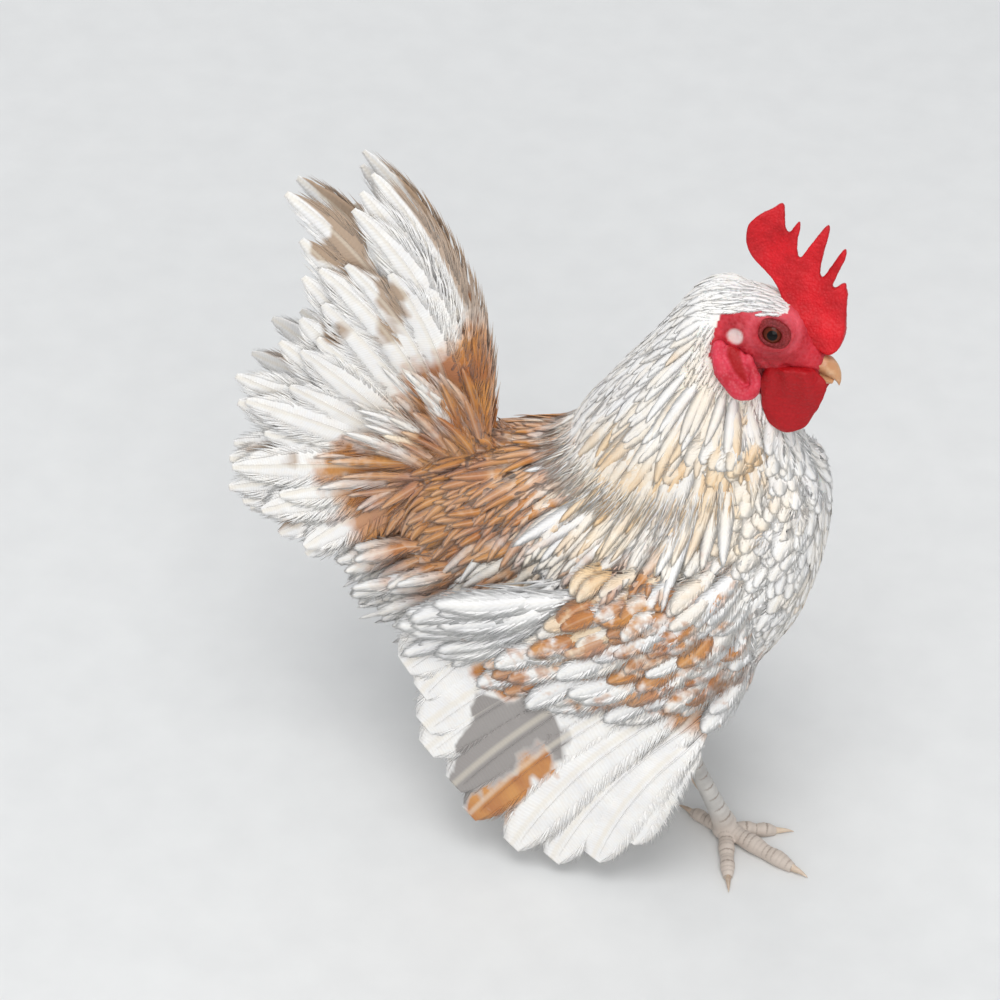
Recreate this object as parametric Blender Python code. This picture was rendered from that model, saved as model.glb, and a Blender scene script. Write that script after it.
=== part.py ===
"""A serama rooster, life size, standing on both feet: breast thrust out, neck drawn up, tail fanned, wings let down.

The bird faces +X, its right side is -Y and the floor is z = 0.  Shapes are worked out in millimetres in a body
frame whose zero lies under the breast; the empty that carries every piece moves that zero to the part's origin,
the middle of the footprint box.
"""

import math
import random

import bmesh
import bpy
import numpy as np
from mathutils import Euler, Matrix, Vector
from mathutils.bvhtree import BVHTree

MM = 0.001
GAP = 0.3
BODY_ZERO_X = 47.5
SHARP_ANGLE = math.radians(38)

# Body, seen from the side: x, lowest z, highest z, half width
BODY = np.array([
    (-87, 96, 110, 4),
    (-83, 87, 120, 15),
    (-73, 77, 130, 23),
    (-58, 68, 137, 29),
    (-40, 61, 142, 34),
    (-18, 56, 146, 37),
    (4, 58, 149, 38),
    (22, 67, 152, 35),
    (34, 83, 149, 28),
    (41, 100, 143, 19),
    (44.3, 117, 133, 7),
], float)
SADDLE_CUT_X = -44.0

# Neck: z, back x, front x, half width, middle y
NECK = np.array([
    (132, -38, 38, 25, 0),
    (151, -36, 36, 24, 0),
    (165, -27, 30, 20, 0),
    (176, -19, 25, 16.5, 0),
    (186, -12, 21, 13.5, 0.3),
    (195, -6, 19, 11.5, 0.8),
    (202, -1.5, 18, 9, 1.6),
    (206, 2.5, 16.5, 6.5, 2.2),
    (208.5, 7, 13, 3, 2.6),
], float)

# The head's own frame: zero between the eyes, x along the beak
HEAD_PLACE = Vector((25.5, 0, 193))
HEAD_YAW, HEAD_PITCH, HEAD_ROLL = -4.0, 14.0, -16.0
HEAD = np.array([  # x, lowest z, highest z, half width
    (-19, -7, 5, 5),
    (-16, -10, 9, 8.5),
    (-10, -12, 11.5, 10.6),
    (-2, -12, 11.5, 10.8),
    (5, -11, 9.5, 9.2),
    (11, -10, 4.5, 6.8),
    (15, -9.4, 1.0, 5.2),
    (17, -9, -0.6, 4.4),
], float)
UPPER_BEAK = np.array([
    (12.6, -5.0, -0.4, 4.3),
    (16.5, -5.2, -0.6, 3.9),
    (19.6, -5.7, -1.2, 3.1),
    (22.2, -6.3, -2.9, 2.0),
    (23.6, -7.3, -4.9, 1.1),
    (24.4, -8.6, -7.2, 0.4),
], float)
LOWER_BEAK = np.array([
    (12.6, -8.8, -5.4, 3.8),
    (16.5, -9.2, -5.6, 3.2),
    (19.6, -9.1, -6.1, 2.2),
    (21.8, -8.6, -6.9, 1.0),
], float)
NOSTRIL = Vector((16.2, 3.7, -2.2))
EYE = Vector((0, 7.6, 3))
EYE_RADIUS = 4.0
LID_RING, LID_THICK = 3.9, 0.9
COMB_PEAKS = [(-12.3, 37.6), (-5.9, 34.8), (3.4, 36.4), (10.0, 32.0), (13.6, 21.8)]
COMB_NOTCHES = [(-8.2, 30.6), (-2.4, 25.0), (4.2, 20.6), (10.0, 18.6)]
COMB_BACK = [(-16.2, 33.4), (-19.1, 28.5), (-18.6, 22.6), (-15.4, 18.6), (-10.8, 15.4), (-8.0, 8.0)]
COMB_FRONT = [(15.6, 18.0), (17.8, 10.6), (18.7, 5.8), (17.6, 1.6), (14.6, 0.2), (6.0, 4.0)]
COMB_SPIKE_HALF = 1.0
COMB_HALF_THICK = 1.2
WATTLE_LENGTH, WATTLE_DEPTH, WATTLE_THICK = 21.0, 21.0, 4.4
LOBE_TOP, LOBE_LOW = Vector((-11, 11.6, -5.5)), Vector((-2.6, 13.0, -17.5))
LOBE_WIDTH, LOBE_THICK = 9.5, 5.0

# Wings, seen from the side: place along the wing from the innermost feather (0) to the outermost (1),
# root x and z, tip x and z
WING_LINE = np.array([
    (0.00, -34, 106, -78, 74),
    (0.22, -18, 102, -75, 52),
    (0.45, 2, 96, -66, 30),
    (0.62, 15, 88, -52, 14),
    (0.80, 17, 74, -30, 8.5),
    (1.00, 14, 60, -8, 18),
], float)
FLIGHTS = 14
FLIGHT_WIDTH, FLIGHT_THICK = 17, 0.6
COVERT_ROWS = [(8, 27, 13, 3.2), (7, 17, 12, 5.2)]
WING_BOW_CENTRE, WING_BOW_HALF = (-5, 34.5, 97), (35, 7.6, 31)
SHINGLE = math.radians(9)

# Tail: angle above the line straight back, length, width, degrees outwards, bend along its length
TAIL_ROOT = Vector((-76, 2.6, 125))
TAIL_CORE_CENTRE, TAIL_CORE_HALF, TAIL_CORE_TILT = (-75.5, 4.5, 127), (20, 4.3, 9.5), -44
MAIN_TAIL = [(73, 99, 17, 2.5, 8), (61, 100, 17.5, 4, 8), (49, 85, 17.5, 5.5, 7), (36, 72, 17.5, 7, 6),
             (22, 71, 17.5, 8.5, 4), (9, 70, 17.5, 10, 2), (-5, 69, 17, 12, 0)]
SICKLES = [(88, 106, 13, 1.5, 40), (77, 101, 13, 6.5, 48)]
SIDE_SICKLES = [(56, 76, 13, 12, 34), (35, 71, 13, 14, 34), (13, 68, 13, 16, 32), (-9, 63, 12.5, 18, 28),
                (-29, 54, 12, 20, 20)]

# Hackle rows: root height, feathers, length, spread to each side of the back in degrees.  Saddle rows: root x, feathers a side, length, first and last place
# round the body in degrees from the top
HACKLE_ROWS = [(175, 13, 56, 122), (197, 9, 54, 98)]
HACKLE_WIDTH, HACKLE_THICK = 10.5, 0.6
SADDLE_ROWS = [(-66, 4, 32, 32, 98), (-56, 5, 41, 30, 98), (-66, 3, 24, 114, 160)]
ROW_STEP = 1.0

# Legs: hip, hock, end of the shank, and how far the foot turns outwards
LEGS = {
    "right": dict(side=-1, hip=(10, 21, 84), hock=(5, 20, 43), ankle=(19.7, 16, 5), turn=24),
    "left": dict(side=1, hip=(-14, 21, 84), hock=(-43, 20, 45), ankle=(-33, 17, 5), turn=16),
}
THIGH_RADII = [16, 17, 13.5, 8.5, 5.2]
SHANK_RADIUS = 3.1
TOES = {  # degrees outwards from the middle toe, length, radius at its root
    "middle": (0, 26.5, 2.7),
    "inner": (-42, 16.5, 2.4),
    "outer": (52, 20.5, 2.4),
    "hind": (186, 14.5, 2.2),
}
CLAW_LENGTH = 6.0
TOE_SINK = 0.5
SPUR_LENGTH, SPUR_RADIUS = 6.5, 2.3

COLOURS = {
    "white_feather": ((0.86, 0.83, 0.77), 0.75),
    "buff_feather": ((0.72, 0.36, 0.12), 0.75),
    "red_skin": ((0.62, 0.03, 0.03), 0.45),
    "beak_horn": ((0.72, 0.50, 0.24), 0.35),
    "eye": ((0.16, 0.05, 0.02), 0.08),
    "leg_scale": ((0.72, 0.66, 0.56), 0.5),
    "claw_horn": ((0.70, 0.58, 0.45), 0.4),
}


def smooth(table, at):
    """Rows of a table, keyed by its first column, read between them along a smooth curve."""
    keys, values = table[:, 0], table[:, 1:]
    slopes = np.gradient(values, keys, axis=0)
    i = int(np.clip(np.searchsorted(keys, at) - 1, 0, len(keys) - 2))
    span = keys[i + 1] - keys[i]
    t = (at - keys[i]) / span
    return ((1 + 2 * t) * (1 - t) ** 2 * values[i] + t * (1 - t) ** 2 * span * slopes[i]
            + t * t * (3 - 2 * t) * values[i + 1] + t * t * (t - 1) * span * slopes[i + 1])


def oval(centre, across, up, half_across, half_up, sides=20, square=2.2):
    """A ring of points: an ellipse, a little squared."""
    angles = np.linspace(0, math.tau, sides, endpoint=False)
    c, s = np.cos(angles), np.sin(angles)
    c, s = np.sign(c) * np.abs(c) ** (2 / square), np.sign(s) * np.abs(s) ** (2 / square)
    return (np.asarray(centre, float) + np.outer(c * half_across, across) + np.outer(s * half_up, up))


def loft(rings):
    """Points and faces of a closed skin over rings of equal count, capped flat at both ends."""
    count = len(rings[0])
    faces = [list(range(count))[::-1]]
    for i in range(len(rings) - 1):
        for j in range(count):
            k = (j + 1) % count
            faces.append([i * count + j, i * count + k, (i + 1) * count + k, (i + 1) * count + j])
    faces.append([(len(rings) - 1) * count + j for j in range(count)])
    return np.concatenate(rings), faces


def ball(centre, half, segments=20, rings=12, tilt=0):
    """An ellipsoid's points and faces, tilted about Y by an angle in degrees."""
    bm = bmesh.new()
    bmesh.ops.create_uvsphere(bm, u_segments=segments, v_segments=rings, radius=1)
    turn = np.array(Matrix.Rotation(math.radians(tilt), 3, "Y"))
    points = np.array([v.co for v in bm.verts]) * half @ turn.T + centre
    faces = [[v.index for v in f.verts] for f in bm.faces]
    bm.free()
    return points, faces


def tube(path, radii, sides=8):
    """A round tube through a path's points."""
    path = [Vector(p) for p in path]
    rings = []
    for i, p in enumerate(path):
        along = (path[min(i + 1, len(path) - 1)] - path[max(i - 1, 0)]).normalized()
        across = along.cross(Vector((0, 0, 1)))
        across = (across if across.length > 0.05 else Vector((0, 1, 0))).normalized()
        rings.append(oval(p, across, along.cross(across), radii[i], radii[i], sides, 2.0))
    return loft(rings)


def material_named(name):
    if name in bpy.data.materials:
        return bpy.data.materials[name]
    material = bpy.data.materials.new(name)
    material.use_nodes = True
    colour, roughness = COLOURS[name]
    shader = material.node_tree.nodes["Principled BSDF"]
    shader.inputs["Base Color"].default_value = (*colour, 1)
    shader.inputs["Roughness"].default_value = roughness
    shader.inputs["Metallic"].default_value = 0
    return material


def build(name, shape, material, collection):
    """A mesh object from points in millimetres and faces."""
    points, faces = shape
    bm = bmesh.new()
    verts = [bm.verts.new(Vector(p) * MM) for p in points]
    for face in faces:
        bm.faces.new([verts[i] for i in face])
    bmesh.ops.recalc_face_normals(bm, faces=bm.faces)
    mesh = bpy.data.meshes.new(name)
    bm.to_mesh(mesh)
    bm.free()
    mesh.materials.append(material_named(material))
    obj = bpy.data.objects.new(name, mesh)
    collection.objects.link(obj)
    return obj


def apply_modifiers(obj):
    graph = bpy.context.evaluated_depsgraph_get()
    mesh = bpy.data.meshes.new_from_object(obj.evaluated_get(graph))
    obj.modifiers.clear()
    obj.data = mesh


def keep_largest(obj):
    """Drops every closed surface of a mesh but the largest."""
    bm = bmesh.new()
    bm.from_mesh(obj.data)
    left = set(bm.faces)
    bodies = []
    while left:
        seed = left.pop()
        body, front = {seed}, [seed]
        while front:
            joined = [e for e in front.pop().edges if len(e.link_faces) == 2]
            for face in (f for e in joined for f in e.link_faces if f in left):
                left.remove(face)
                body.add(face)
                front.append(face)
        bodies.append(body)
    best = max(bodies, key=lambda body: sum(f.calc_area() for f in body))
    bmesh.ops.delete(bm, geom=[f for body in bodies if body is not best for f in body], context="FACES")
    bm.to_mesh(obj.data)
    bm.free()


def join_pieces(obj, shapes, solver="MANIFOLD"):
    """Fuses closed shapes into an object with one Boolean union on a collection."""
    pieces = bpy.data.collections.new(obj.name + "_pieces")
    bpy.context.scene.collection.children.link(pieces)
    for i, shape in enumerate(shapes):
        build(f"{obj.name}_piece_{i}", shape, obj.data.materials[0].name, pieces)
    union = obj.modifiers.new("union", "BOOLEAN")
    union.operation = "UNION"
    union.operand_type = "COLLECTION"
    union.collection = pieces
    union.solver = solver
    apply_modifiers(obj)
    for piece in list(pieces.objects):
        bpy.data.objects.remove(piece)
    bpy.data.collections.remove(pieces)
    keep_largest(obj)


def cut(obj, cutter, solver="MANIFOLD"):
    difference = obj.modifiers.new("cut", "BOOLEAN")
    difference.operation = "DIFFERENCE"
    difference.object = cutter
    difference.solver = solver
    apply_modifiers(obj)


def clear_of(obj, shapes, gap=GAP):
    """Cuts an object clear of closed shapes, each grown by the gap."""
    for shape in shapes:
        cutter = build("cutter", shape, "red_skin", bpy.context.scene.collection)
        points = np.array([v.co + v.normal * gap * MM for v in cutter.data.vertices], np.float32)
        cutter.data.vertices.foreach_set("co", points.ravel())
        cut(obj, cutter)
        bpy.data.objects.remove(cutter)
    keep_largest(obj)


def body_rings(low, high, sides=28):
    """Upright rings of the body between two values of x."""
    keys = [x for x in BODY[:, 0] if low + 2 < x < high - 2]
    rings = []
    for x in [low, *keys, high]:
        bottom, top, half = smooth(BODY, x)
        centre = (x, 0, (bottom + top) / 2)
        rings.append(oval(centre, (0, 1, 0), (0, 0, 1), half, (top - bottom) / 2, sides))
    return rings


def neck_shape(sides=20):
    rings = []
    for z, back, front, half, middle in NECK:
        rings.append(oval(((back + front) / 2, middle, z), (1, 0, 0), (0, 1, 0), (front - back) / 2, half, sides))
    return loft(rings)


def head_matrix():
    turn = Euler([math.radians(a) for a in (HEAD_ROLL, HEAD_PITCH, HEAD_YAW)]).to_matrix().to_4x4()
    return Matrix.Translation(HEAD_PLACE) @ turn


def on_head(shape):
    """A shape from the head's own frame into the body's."""
    matrix = head_matrix()
    points, faces = shape
    return np.array([matrix @ Vector(p) for p in points]), faces


def head_loft(table, sides=16, square=2.1):
    rings = [oval((x, 0, (low + high) / 2), (0, 1, 0), (0, 0, 1), half, (high - low) / 2, sides, square)
             for x, low, high, half in table]
    return loft(rings)


def sided(point, side):
    return (point[0], point[1] * side, point[2])


def vane(path, across, normals, widths, thick):
    """A thin closed blade: four corners a section, its two faces split alike into triangles."""
    points, faces = [], []
    for p, a, n, w in zip(path, across, normals, widths):
        for sa, sn in ((1, 1), (-1, 1), (-1, -1), (1, -1)):
            points.append(np.asarray(p) + np.asarray(a) * (sa * w / 2) + np.asarray(n) * (sn * thick / 2))
    last = len(path) - 1
    for i in range(last):
        a, b, c, d = range(4 * i, 4 * i + 4)
        a2, b2, c2, d2 = range(4 * i + 4, 4 * i + 8)
        faces += [[a, b, b2], [a, b2, a2], [d, c2, c], [d, d2, c2], [b, c, c2], [b, c2, b2], [d, a, a2], [d, a2, d2]]
    faces += [[0, 3, 2], [0, 2, 1], [4 * last, 4 * last + 1, 4 * last + 2], [4 * last, 4 * last + 2, 4 * last + 3]]
    return np.array(points), faces


BLADE = [(0.0, 0.36), (0.18, 0.82), (0.6, 1.0), (0.88, 0.82), (1.0, 0.34)]
LOCK = [(0.0, 0.4), (0.25, 0.82), (0.6, 1.0), (0.85, 0.64), (1.0, 0.14)]


def wing_half_width(x, z):
    """How far out the sheet of flight feathers lies, at a place seen from the side."""
    down = np.clip((100 - z) / 90, 0, 1.1)
    return 40 + 7 * down - 0.0006 * (x + 10) ** 2 - 0.012 * max(z - 100, 0) ** 2


def wing_vane(side, root, tip, width, thick, lift, sag, profile):
    """A feather lying on the wing's sheet from a root to a tip, both given as x and z."""
    root, tip = np.array(root, float), np.array(tip, float)
    along = (tip - root) / np.linalg.norm(tip - root)
    outer = np.array((-along[1], along[0]))
    length = np.linalg.norm(tip - root)
    path, across, normals, widths = [], [], [], []
    for t, w in profile:
        place = root + along * (t * length) + outer * (sag * 4 * t * (1 - t))
        rise = lift * min(t / 0.2, 1) - 3.0 * max(0, 1 - t / 0.14)
        x, z = place
        edge = outer * math.cos(SHINGLE)
        y = wing_half_width(x, z) + rise
        path.append((x, side * y, z))
        across.append((edge[0], side * -math.sin(SHINGLE), edge[1]))
        normals.append((outer[0] * math.sin(SHINGLE), side * math.cos(SHINGLE), outer[1] * math.sin(SHINGLE)))
        widths.append(width * w)
    return vane(path, across, normals, widths, thick)


def flight_vanes(side):
    shapes = []
    for i in range(FLIGHTS):
        place = i / (FLIGHTS - 1)
        rx, rz, tx, tz = smooth(WING_LINE, place)
        width = FLIGHT_WIDTH * (1 - 0.22 * place)
        shapes.append(wing_vane(side, (rx, rz), (tx, tz), width, FLIGHT_THICK, 0, -1.5, BLADE))
    return shapes


def covert_vanes(side):
    shapes = []
    for row, (count, length, width, lift) in enumerate(COVERT_ROWS):
        for i in range(count):
            place = (i + 0.5) / count * 0.92
            rx, rz, tx, tz = smooth(WING_LINE, place)
            along = np.array((tx - rx, tz - rz))
            along /= np.linalg.norm(along)
            root = np.array((rx, rz)) - along * (3 + 9 * row)
            shapes.append(wing_vane(side, root, root + along * length, width, FLIGHT_THICK, lift, 0, BLADE))
    return shapes


def wing_bow(side):
    centre = (WING_BOW_CENTRE[0], WING_BOW_CENTRE[1] * side, WING_BOW_CENTRE[2])
    return ball(centre, WING_BOW_HALF)


def fan_vane(side, angle, length, width, outwards, bend, profile, start=(0, 0, 0), roll=7.0, thick=0.7):
    """A tail feather from the tail's root, curving down by the bend as it runs out."""
    root = np.array(TAIL_ROOT) * (1, side, 1) + np.array(start) * (1, side, 1)
    out = math.radians(outwards)
    point, path, across, normals, widths = root.copy(), [], [], [], []
    steps = 24
    marks = {round(t * steps): w for t, w in profile}
    for i in range(steps + 1):
        a = math.radians(angle - bend * (i / steps) ** 1.5)
        along = np.array((-math.cos(a) * math.cos(out), side * math.sin(out), math.sin(a) * math.cos(out)))
        if i in marks:
            up = np.array((math.sin(a), 0, math.cos(a)))
            flat = np.cross(along, up)
            flat *= side * np.sign(flat[1])
            r = math.radians(roll)
            path.append(point.copy())
            across.append(up * math.cos(r) - flat * math.sin(r))
            normals.append(flat * math.cos(r) + up * math.sin(r))
            widths.append(width * marks[i])
        point = point + along * (length / steps)
    return vane(path, across, normals, widths, thick)


def tail_vanes(side):
    shapes = [fan_vane(side, *row, BLADE) for row in MAIN_TAIL]
    shapes += [fan_vane(side, *row, BLADE, start=(12, 0.6, 9)) for row in SICKLES]
    shapes += [fan_vane(side, *row, LOCK, start=(-2, 3.0, -1)) for row in SIDE_SICKLES]
    return shapes


def ground_of(shapes):
    """A test of how far a point lies over several shapes, and which way is out, for laying feathers on them."""
    trees = [BVHTree.FromPolygons([Vector(p) for p in points], faces) for points, faces in shapes]

    def over(point):
        found = []
        for tree in trees:
            near, normal, _, _ = tree.find_nearest(point)
            found.append(((point - near).dot(normal), normal))
        return min(found, key=lambda pair: pair[0])

    return over


def laid_vane(over, start, heading, length, width, thick, rise, profile=LOCK, steps=20):
    """A feather rooted under a surface that slides over it in a heading, and hangs free where it falls away."""
    marks = {round(t * steps): w for t, w in profile}
    point, along = Vector(start), Vector(heading).normalized()
    path, across, normals, widths = [], [], [], []
    for i in range(steps + 1):
        lift = -1.2 + (rise + 1.2) * min(i / steps / 0.25, 1)
        height, normal = over(point)
        if height < lift or i < 0.25 * steps:
            point = point + normal * (lift - height)
            along = (along - normal * min(along.dot(normal), 0)).normalized()
        if i in marks:
            path.append(np.array(point))
            across.append(np.array(along.cross(normal).normalized()))
            normals.append(np.array(normal))
            widths.append(width * marks[i])
        point = point + along * (length / steps)
        along = (along * 1.6 + Vector(heading).normalized()).normalized()
    return vane(path, across, normals, widths, thick)


def hackle_vanes(over, draw):
    """The neck's long narrow feathers in two rows, open only at the throat."""
    shapes = []
    for row, (z, count, length, spread) in enumerate(HACKLE_ROWS):
        back, front, half, middle = smooth(NECK, z)
        for i in range(count):
            turn = math.radians(spread) * (2 * i / (count - 1) - 1)
            start = ((back + front) / 2 - (front - back) / 2 * math.cos(turn), middle + half * math.sin(turn), z)
            heading = (-0.34 * math.sin(abs(turn)) - 0.3 * math.cos(turn), 0.2 * math.sin(turn), -1.0)
            rise = 1.2 + ROW_STEP * (2 * row + i % 2)
            shapes.append(laid_vane(over, start, heading, length * draw.uniform(0.94, 1.04), HACKLE_WIDTH,
                                    HACKLE_THICK, rise))
    return shapes


def saddle_vanes(over, draw):
    """The rump's drooping feathers, falling back and down on both sides."""
    shapes = []
    for row, (x, count, length, first, last) in enumerate(SADDLE_ROWS):
        bottom, top, half = smooth(BODY, x)
        for i in range(2 * count):
            side, place = (-1, 1)[i % 2], (i // 2) / (count - 1)
            turn = side * math.radians(first + (last - first) * place)
            start = (x, half * math.sin(turn), (bottom + top) / 2 + (top - bottom) / 2 * math.cos(turn))
            heading = (-1.0, 0.12 * math.sin(turn), -0.62 * abs(math.sin(turn)) - 0.12)
            rise = 1.2 + ROW_STEP * (2 * (row % 2) + i // 2 % 2)
            shapes.append(laid_vane(over, start, heading, length * draw.uniform(0.92, 1.05), 12, 0.7, rise))
    return shapes


def comb_object(collection):
    """The single comb: a flat outline given thickness, thickest at its foot."""
    outline = []
    for i, (x, z) in enumerate(COMB_PEAKS):
        outline += [(x - COMB_SPIKE_HALF, z - 1.4), (x, z), (x + COMB_SPIKE_HALF, z - 1.6)]
        if i < len(COMB_NOTCHES):
            nx, nz = COMB_NOTCHES[i]
            outline += [(nx - 0.4, nz + 1.0), (nx, nz), (nx + 0.5, nz + 1.0)]
    outline += COMB_FRONT + COMB_BACK[::-1]
    curve = bpy.data.curves.new("comb_outline", "CURVE")
    curve.dimensions = "2D"
    curve.fill_mode = "BOTH"
    curve.extrude = COMB_HALF_THICK * MM
    spline = curve.splines.new("POLY")
    spline.points.add(len(outline) - 1)
    for point, (x, z) in zip(spline.points, outline):
        point.co = (x * MM, z * MM, 0, 1)
    spline.use_cyclic_u = True
    flat = bpy.data.objects.new("comb_outline", curve)
    bpy.context.scene.collection.objects.link(flat)
    graph = bpy.context.evaluated_depsgraph_get()
    mesh = bpy.data.meshes.new_from_object(flat.evaluated_get(graph))
    bpy.data.objects.remove(flat)
    bm = bmesh.new()
    bm.from_mesh(mesh)
    bmesh.ops.remove_doubles(bm, verts=bm.verts, dist=0.00001)
    matrix = Matrix.Scale(MM, 4) @ head_matrix()
    for v in bm.verts:
        height = v.co.y / MM
        thicker = 1.9 - 1.1 * min(max(height / 30, 0), 1)
        v.co = matrix @ Vector((v.co.x / MM, -v.co.z / MM * thicker, height))
    bmesh.ops.recalc_face_normals(bm, faces=bm.faces)
    bm.to_mesh(mesh)
    bm.free()
    mesh.name = "comb"
    mesh.materials.clear()
    mesh.materials.append(material_named("red_skin"))
    comb = bpy.data.objects.new("comb", mesh)
    collection.objects.link(comb)
    return comb


def wattle_shape(side):
    """A rounded lobe that hangs from the side of the lower jaw."""
    root = head_matrix() @ Vector((7, 5.4 * side, -9))
    rings = []
    for t in (0.0, 0.12, 0.3, 0.5, 0.7, 0.86, 0.96, 1.0):
        swell = math.sin(math.pi * (0.14 + 0.86 * t)) ** 0.62 if t < 1 else 0.1
        centre = (root.x + 0.5 - 2.5 * t, root.y + 1.2 * side * t, root.z + 1 - WATTLE_LENGTH * t)
        rings.append(oval(centre, (1, 0, 0), (0, 1, 0), WATTLE_DEPTH / 2 * swell,
                          WATTLE_THICK / 2 * max(swell, 0.45) * (0.75 + 0.35 * t), 16))
    return loft(rings)


def lobe_shapes(side):
    """An earlobe's folded oval and the hollow in its outer face."""
    top, low = Vector(sided(LOBE_TOP, side)), Vector(sided(LOBE_LOW, side))
    middle, long = (top + low) / 2, (low - top) / 2
    along = long.normalized()
    out = Vector((0, side, 0))
    out = (out - along * out.dot(along)).normalized()
    turn = Matrix((along, out, along.cross(out))).transposed().to_3x3()

    def leaf(half, shift):
        points, faces = ball((0, 0, 0), half, 14, 8)
        return on_head(([turn @ Vector(p) + middle + out * shift for p in points], faces))

    whole = leaf((long.length + 2.5, LOBE_THICK / 2, LOBE_WIDTH / 2), 0)
    hollow = leaf((long.length - 0.4, LOBE_THICK * 0.42, LOBE_WIDTH * 0.27), LOBE_THICK * 0.46)
    return whole, hollow


def eye_ball(side, grow=0.0):
    return on_head(ball(sided(EYE, side), (EYE_RADIUS + grow,) * 3, 12, 8))


def lid_shape(side):
    """The two lids as one almond ring round the eye."""
    bm = bmesh.new()
    matrix = Matrix.Rotation(math.radians(90), 4, "X")
    ring, tube_sides = 14, 5
    verts = []
    for i in range(ring):
        a = math.tau * i / ring
        centre = Vector((math.cos(a) * (LID_RING + 0.5), math.sin(a) * (LID_RING - 0.5), 0))
        for j in range(tube_sides):
            b = math.tau * j / tube_sides
            out = Vector((math.cos(a), math.sin(a), 0)) * math.cos(b) + Vector((0, 0, 1)) * math.sin(b)
            verts.append(centre + out * LID_THICK)
    bm.free()
    points = [matrix @ v + Vector(sided(EYE, side)) + Vector((0, side * 2.6, 0)) for v in verts]
    faces = []
    for i in range(ring):
        for j in range(tube_sides):
            k, n = (i + 1) % ring, (j + 1) % tube_sides
            faces.append([i * tube_sides + j, k * tube_sides + j, k * tube_sides + n, i * tube_sides + n])
    return on_head((points, faces))


def thigh_shape(leg):
    hip, hock = Vector(sided(leg["hip"], leg["side"])), Vector(sided(leg["hock"], leg["side"]))
    rings = []
    for i, radius in enumerate(THIGH_RADII):
        t = i / (len(THIGH_RADII) - 1)
        centre = hip.lerp(hock, t)
        rings.append(oval(centre, (1, 0, 0), (0, 1, 0), radius * 1.12, radius * 0.86, 16, 2.0))
    return loft(rings)


def leg_line(leg):
    return Vector(sided(leg["hock"], leg["side"])), Vector(sided(leg["ankle"], leg["side"]))


def shank_shape(leg):
    """The bare shank, with the hock's knob above and the foot's knuckle below."""
    hock, ankle = leg_line(leg)
    along = (ankle - hock).normalized()
    start, end = hock + along * 0.4, ankle - along * 5.0
    marks = [(0.0, 1.28), (0.12, 1.22), (0.25, 0.98), (0.6, 0.94), (0.85, 1.08), (1.0, 1.25)]
    across = along.cross(Vector((0, 1, 0))).normalized()
    side_axis = across.cross(along)
    rings = [oval(start.lerp(end, t), across, side_axis, SHANK_RADIUS * r * 1.08, SHANK_RADIUS * r * 0.92, 12, 2.0)
             for t, r in marks]
    rings[0][:, 2] = hock.z - GAP
    return loft(rings)


def toe_direction(leg, outwards):
    angle = math.radians(leg["turn"] + outwards)
    return Vector((math.cos(angle), leg["side"] * math.sin(angle), 0))


def toe_path(leg, toe):
    outwards, length, radius = TOES[toe]
    ankle = leg_line(leg)[1]
    heading = toe_direction(leg, outwards)
    base = Vector((ankle.x, ankle.y, 0))
    marks = [(0.0, 1.25, 1.6), (0.22, 1.0, 0.9), (0.42, 1.12, 0.4), (0.6, 0.92, 0.2), (0.78, 1.0, 0.0),
             (1.0, 0.62, 0.0)]
    path, radii = [], []
    for t, swell, rise in marks:
        r = radius * swell
        path.append(base + heading * (length * t) + Vector((0, 0, r - TOE_SINK + rise)))
        radii.append(r)
    return path, radii, heading


def foot_object(name, leg, collection):
    hock, ankle = leg_line(leg)
    along = (ankle - hock).normalized()
    top = ankle - along * 4.7
    palm = tube([top, top.lerp(ankle, 0.6), Vector((ankle.x, ankle.y, 1.6))],
                [SHANK_RADIUS * 1.24, SHANK_RADIUS * 1.36, SHANK_RADIUS * 1.1], 12)
    across = along.cross(Vector((0, 1, 0))).normalized()
    side_axis = across.cross(along)
    first = oval(top, across, side_axis, SHANK_RADIUS * 1.33, SHANK_RADIUS * 1.14, 12, 2.0)
    palm[0][:12] = first
    foot = build(name, palm, "leg_scale", collection)
    join_pieces(foot, [tube(*toe_path(leg, toe)[:2]) for toe in TOES])
    bm = bmesh.new()
    bm.from_mesh(foot.data)
    cut_edges = bmesh.ops.bisect_plane(bm, geom=bm.verts[:] + bm.edges[:] + bm.faces[:], plane_co=(0, 0, 0),
                                       plane_no=(0, 0, -1), clear_outer=True)["geom_cut"]
    bmesh.ops.holes_fill(bm, edges=[e for e in cut_edges if isinstance(e, bmesh.types.BMEdge)])
    bmesh.ops.recalc_face_normals(bm, faces=bm.faces)
    bm.to_mesh(foot.data)
    bm.free()
    return foot


def claw_shape(leg, toe):
    path, radii, heading = toe_path(leg, toe)
    end, radius = path[-1], radii[-1]
    start = end + heading * (2 * GAP)
    marks = [(0.0, 0.92, 0.0), (0.35, 0.74, 0.25), (0.7, 0.42, 0.0), (1.0, 0.1, -0.6)]
    points = [start + heading * (CLAW_LENGTH * t) + Vector((0, 0, rise)) for t, _, rise in marks]
    sizes = [radius * r for _, r, _ in marks]
    for point, size in zip(points, sizes):
        point.z = max(point.z, size + 0.05)
    return tube(points, sizes, 8)


def spur_shape(leg):
    """The blunt spur on the inner back of the shank."""
    hock, ankle = leg_line(leg)
    root = hock.lerp(ankle, 0.62)
    heading = Vector((-0.78, -0.55 * leg["side"], 0.05)).normalized()
    points = [root + heading * d for d in (1.0, SHANK_RADIUS + SPUR_LENGTH * 0.45, SHANK_RADIUS + SPUR_LENGTH)]
    return tube(points, [SPUR_RADIUS, SPUR_RADIUS * 0.7, SPUR_RADIUS * 0.22], 10)


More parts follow.
